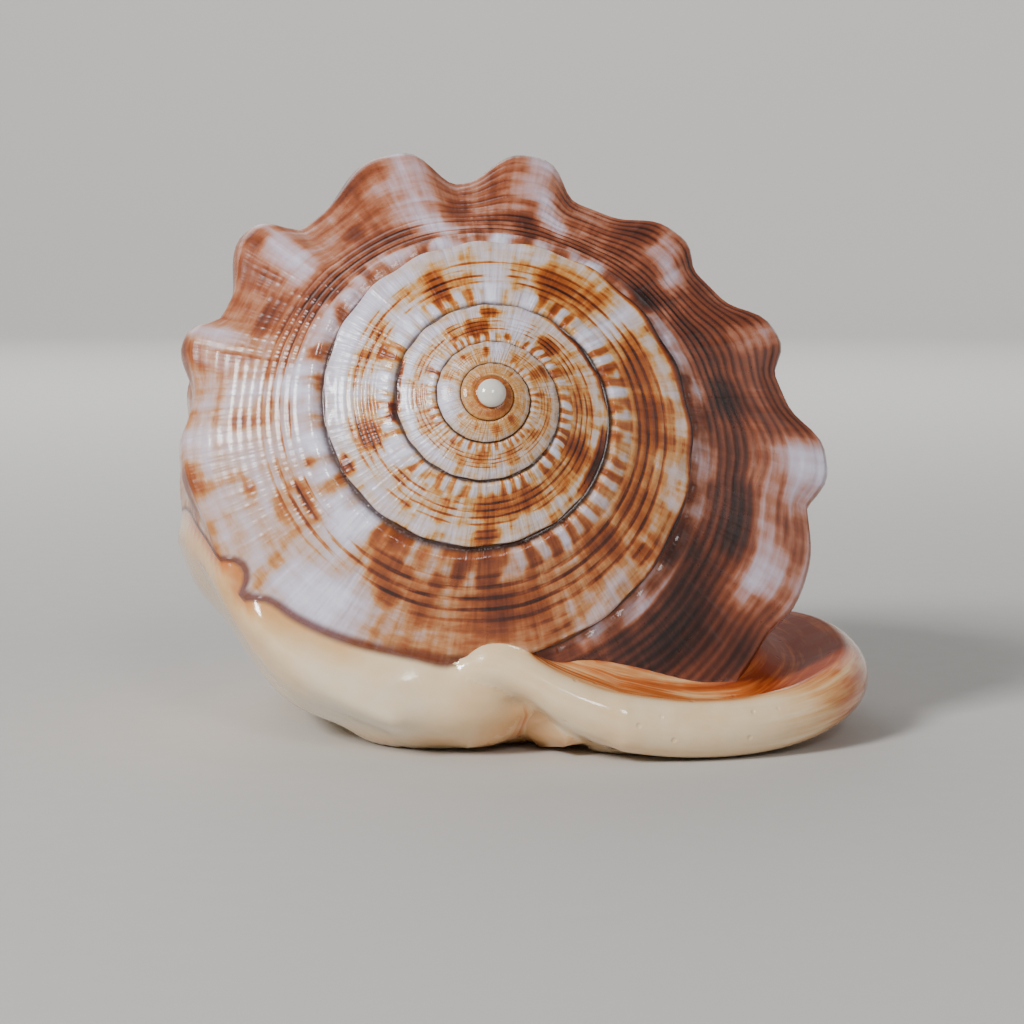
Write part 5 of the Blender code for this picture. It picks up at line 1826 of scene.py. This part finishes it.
shader.inputs["IOR"].default_value = 1.55
report("gloss")

# %% Fine relief
RIDGES, SWELL, PITS, GRAIN = 2.2, 1.2, -0.8, 0.10
BUMP_STRENGTH, BUMP_HEIGHT = 0.45, 0.0004                 # metres

pits = look.node("ShaderNodeTexVoronoi")
look.plug(pits.inputs["Vector"], spot)
pits.inputs["Scale"].default_value = 0.22
pit = look.product(look.step(pits.outputs["Distance"], 0.14, 0.04), on_lip, PITS)
ridges = look.product(look.math("ADD", fine, look.product(streak, 1.2)),
                      look.rest(smooth_part), RIDGES)
swell = look.product(look.noise(spot, 0.20, 1.0), smooth_part, SWELL)
height = look.math("ADD", look.math("ADD", ridges, swell), pit)
height = look.math("MULTIPLY_ADD", grain, GRAIN, height)
bump = look.node("ShaderNodeBump")
bump.inputs["Strength"].default_value = BUMP_STRENGTH
bump.inputs["Distance"].default_value = BUMP_HEIGHT
look.plug(bump.inputs["Height"], height)
look.plug(shader.inputs["Normal"], bump.outputs[0])
report("fine relief")

# %% [markdown]
# ## One piece
#
# Nothing on a shell is joined on: whorls, callus and lip are one mineral.  So the
# mesh is one piece, which rides the root body and stands for the block model's
# only node.

# %% Put the shell in the scene
def put_in_scene(name, data):
    made = bpy.data.objects.new(name, data)
    bpy.context.scene.collection.objects.link(made)
    return made


SHARP_ANGLE = 58.0        # edges steeper than this stay sharp, degrees
RESTING_Z = 2e-5          # faces below this lie on the table, metres


def shade(mesh):
    """Shade smooth, but for the faces that rest on the table and for sharp edges."""
    middles, normals = np.zeros(len(mesh.polygons) * 3), np.zeros(len(mesh.polygons) * 3)
    mesh.polygons.foreach_get("center", middles)
    mesh.polygons.foreach_get("normal", normals)
    resting = (middles[2::3] < RESTING_Z) & (normals[2::3] < -0.99)
    mesh.polygons.foreach_set("use_smooth", ~resting)
    mesh.set_sharp_from_angle(angle=math.radians(SHARP_ANGLE))
    return int(resting.sum())


shell.name = "helmet_shell"
print("faces that rest on the table:", shade(shell))
piece = put_in_scene("helmet_shell", shell)
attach(piece, "root")
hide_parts("shell")
print("pieces: 1, vertices:", len(shell.vertices))

# %% [markdown]
# ## Table and light
#
# The floor is pale and turns up far away on every side, so no horizon shows.  The
# key light stands at the upper left in front.  A small weak one in front glints
# in the glaze like a window, a broad weak one fills the right side, and one
# behind draws a rim on the knobs.  The last one lights the floor where it turns
# up, so that the background stays even.

# %% Floor
FLOOR_RADIUS, FLOOR_TURN, FLOOR_HEIGHT = 2.2, 1.0, 2.4      # metres
PAPER_TONE = tone(196, 194, 190)


def floor_mesh():
    """A disc with an upturned rim."""
    bend = np.linspace(0, math.pi / 2, 13)
    radii = [0.02, 0.5, 1.2, *(FLOOR_RADIUS + FLOOR_TURN * np.sin(bend)),
             FLOOR_RADIUS + FLOOR_TURN]
    heights = [0.0, 0.0, 0.0, *(FLOOR_TURN * (1 - np.cos(bend))), FLOOR_HEIGHT]
    count = 96
    turn = np.linspace(0, 2 * math.pi, count, endpoint=False)
    points = [(r * math.cos(a), r * math.sin(a), z) for r, z in zip(radii, heights) for a in turn]
    faces = [tuple(range(count))]
    for ring in range(len(radii) - 1):
        for i in range(count):
            k = (i + 1) % count
            a, b = ring * count, (ring + 1) * count
            faces.append((a + i, b + i, b + k, a + k))
    mesh = bpy.data.meshes.new("floor")
    mesh.from_pydata(points, [], faces)
    mesh.polygons.foreach_set("use_smooth", [True] * len(mesh.polygons))
    return mesh


floor = put_in_scene("floor", floor_mesh())
floor_look = bpy.data.materials.new("floor_paper")
floor_look.use_nodes = True
paper = Look(floor_look.node_tree)
paper_shader = floor_look.node_tree.nodes["Principled BSDF"]
paper_shader.inputs["Base Color"].default_value = PAPER_TONE
paper_grain = paper.noise(paper.node("ShaderNodeTexCoord").outputs["Object"], 180.0, 3.0)
paper.plug(paper_shader.inputs["Roughness"], paper.step(paper_grain, 0.3, 0.7, 0.62, 0.74))
floor.data.materials.append(floor_look)
floor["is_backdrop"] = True
print("faces of the floor:", len(floor.data.polygons))

# %% Lights and camera
CAMERA_AT = (-0.05068, -0.46491, 0.08504)
CAMERA_TOWARDS = (0.11086, 0.98832, -0.10453)
LENS = 84.9
MIDDLE = (0.0, 0.0, 0.05)
SKY_TONE, SKY_STRENGTH = (0.85, 0.88, 0.93, 1.0), 0.19
LIGHTS = (      # name, place, aimed at, watts, size
    ("key_light", (-1.35, -1.05, 1.15), MIDDLE, 46.0, 0.5),
    ("window_light", (0.22, -1.45, 0.95), MIDDLE, 5.0, 0.3),
    ("fill_light", (1.50, -0.80, 0.80), MIDDLE, 2.5, 1.2),
    ("rim_light", (-0.60, 1.30, 1.30), MIDDLE, 9.0, 1.4),
    ("backdrop_light", (0.15, 0.70, 1.80), (0.35, 3.20, 0.90), 60.0, 1.4))


def aim(item, towards):
    """Turn a light or the camera to look along a direction."""
    item.rotation_euler = Vector(towards).to_track_quat("-Z", "Y").to_euler()


for name, at, towards, power, size in LIGHTS:
    light = bpy.data.lights.new(name, "AREA")
    light.energy, light.size = power, size
    lamp = put_in_scene(name, light)
    lamp.location = at
    aim(lamp, Vector(towards) - Vector(at))

camera = bpy.data.cameras.new("camera")
camera.lens = LENS
viewer = put_in_scene("camera", camera)
viewer.location = CAMERA_AT
aim(viewer, CAMERA_TOWARDS)
bpy.context.scene.camera = viewer
world = bpy.data.worlds.new("studio")
bpy.context.scene.world = world
world.use_nodes = True
sky = world.node_tree.nodes["Background"]
sky.inputs["Color"].default_value = SKY_TONE
sky.inputs["Strength"].default_value = SKY_STRENGTH
print("lights:", [name for name, *_ in LIGHTS])

# %% [markdown]
# ## Size
#
# The finished piece keeps the block model's size.

# %% Compare the boxes and finish
VISUAL_LOW, VISUAL_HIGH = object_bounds()
for label, box in (("block model", (CAD_LOW, CAD_HIGH)), ("shell", (VISUAL_LOW, VISUAL_HIGH))):
    print(label, "mm:", [round(v / MM, 2) for v in (*box[0], *box[1])])
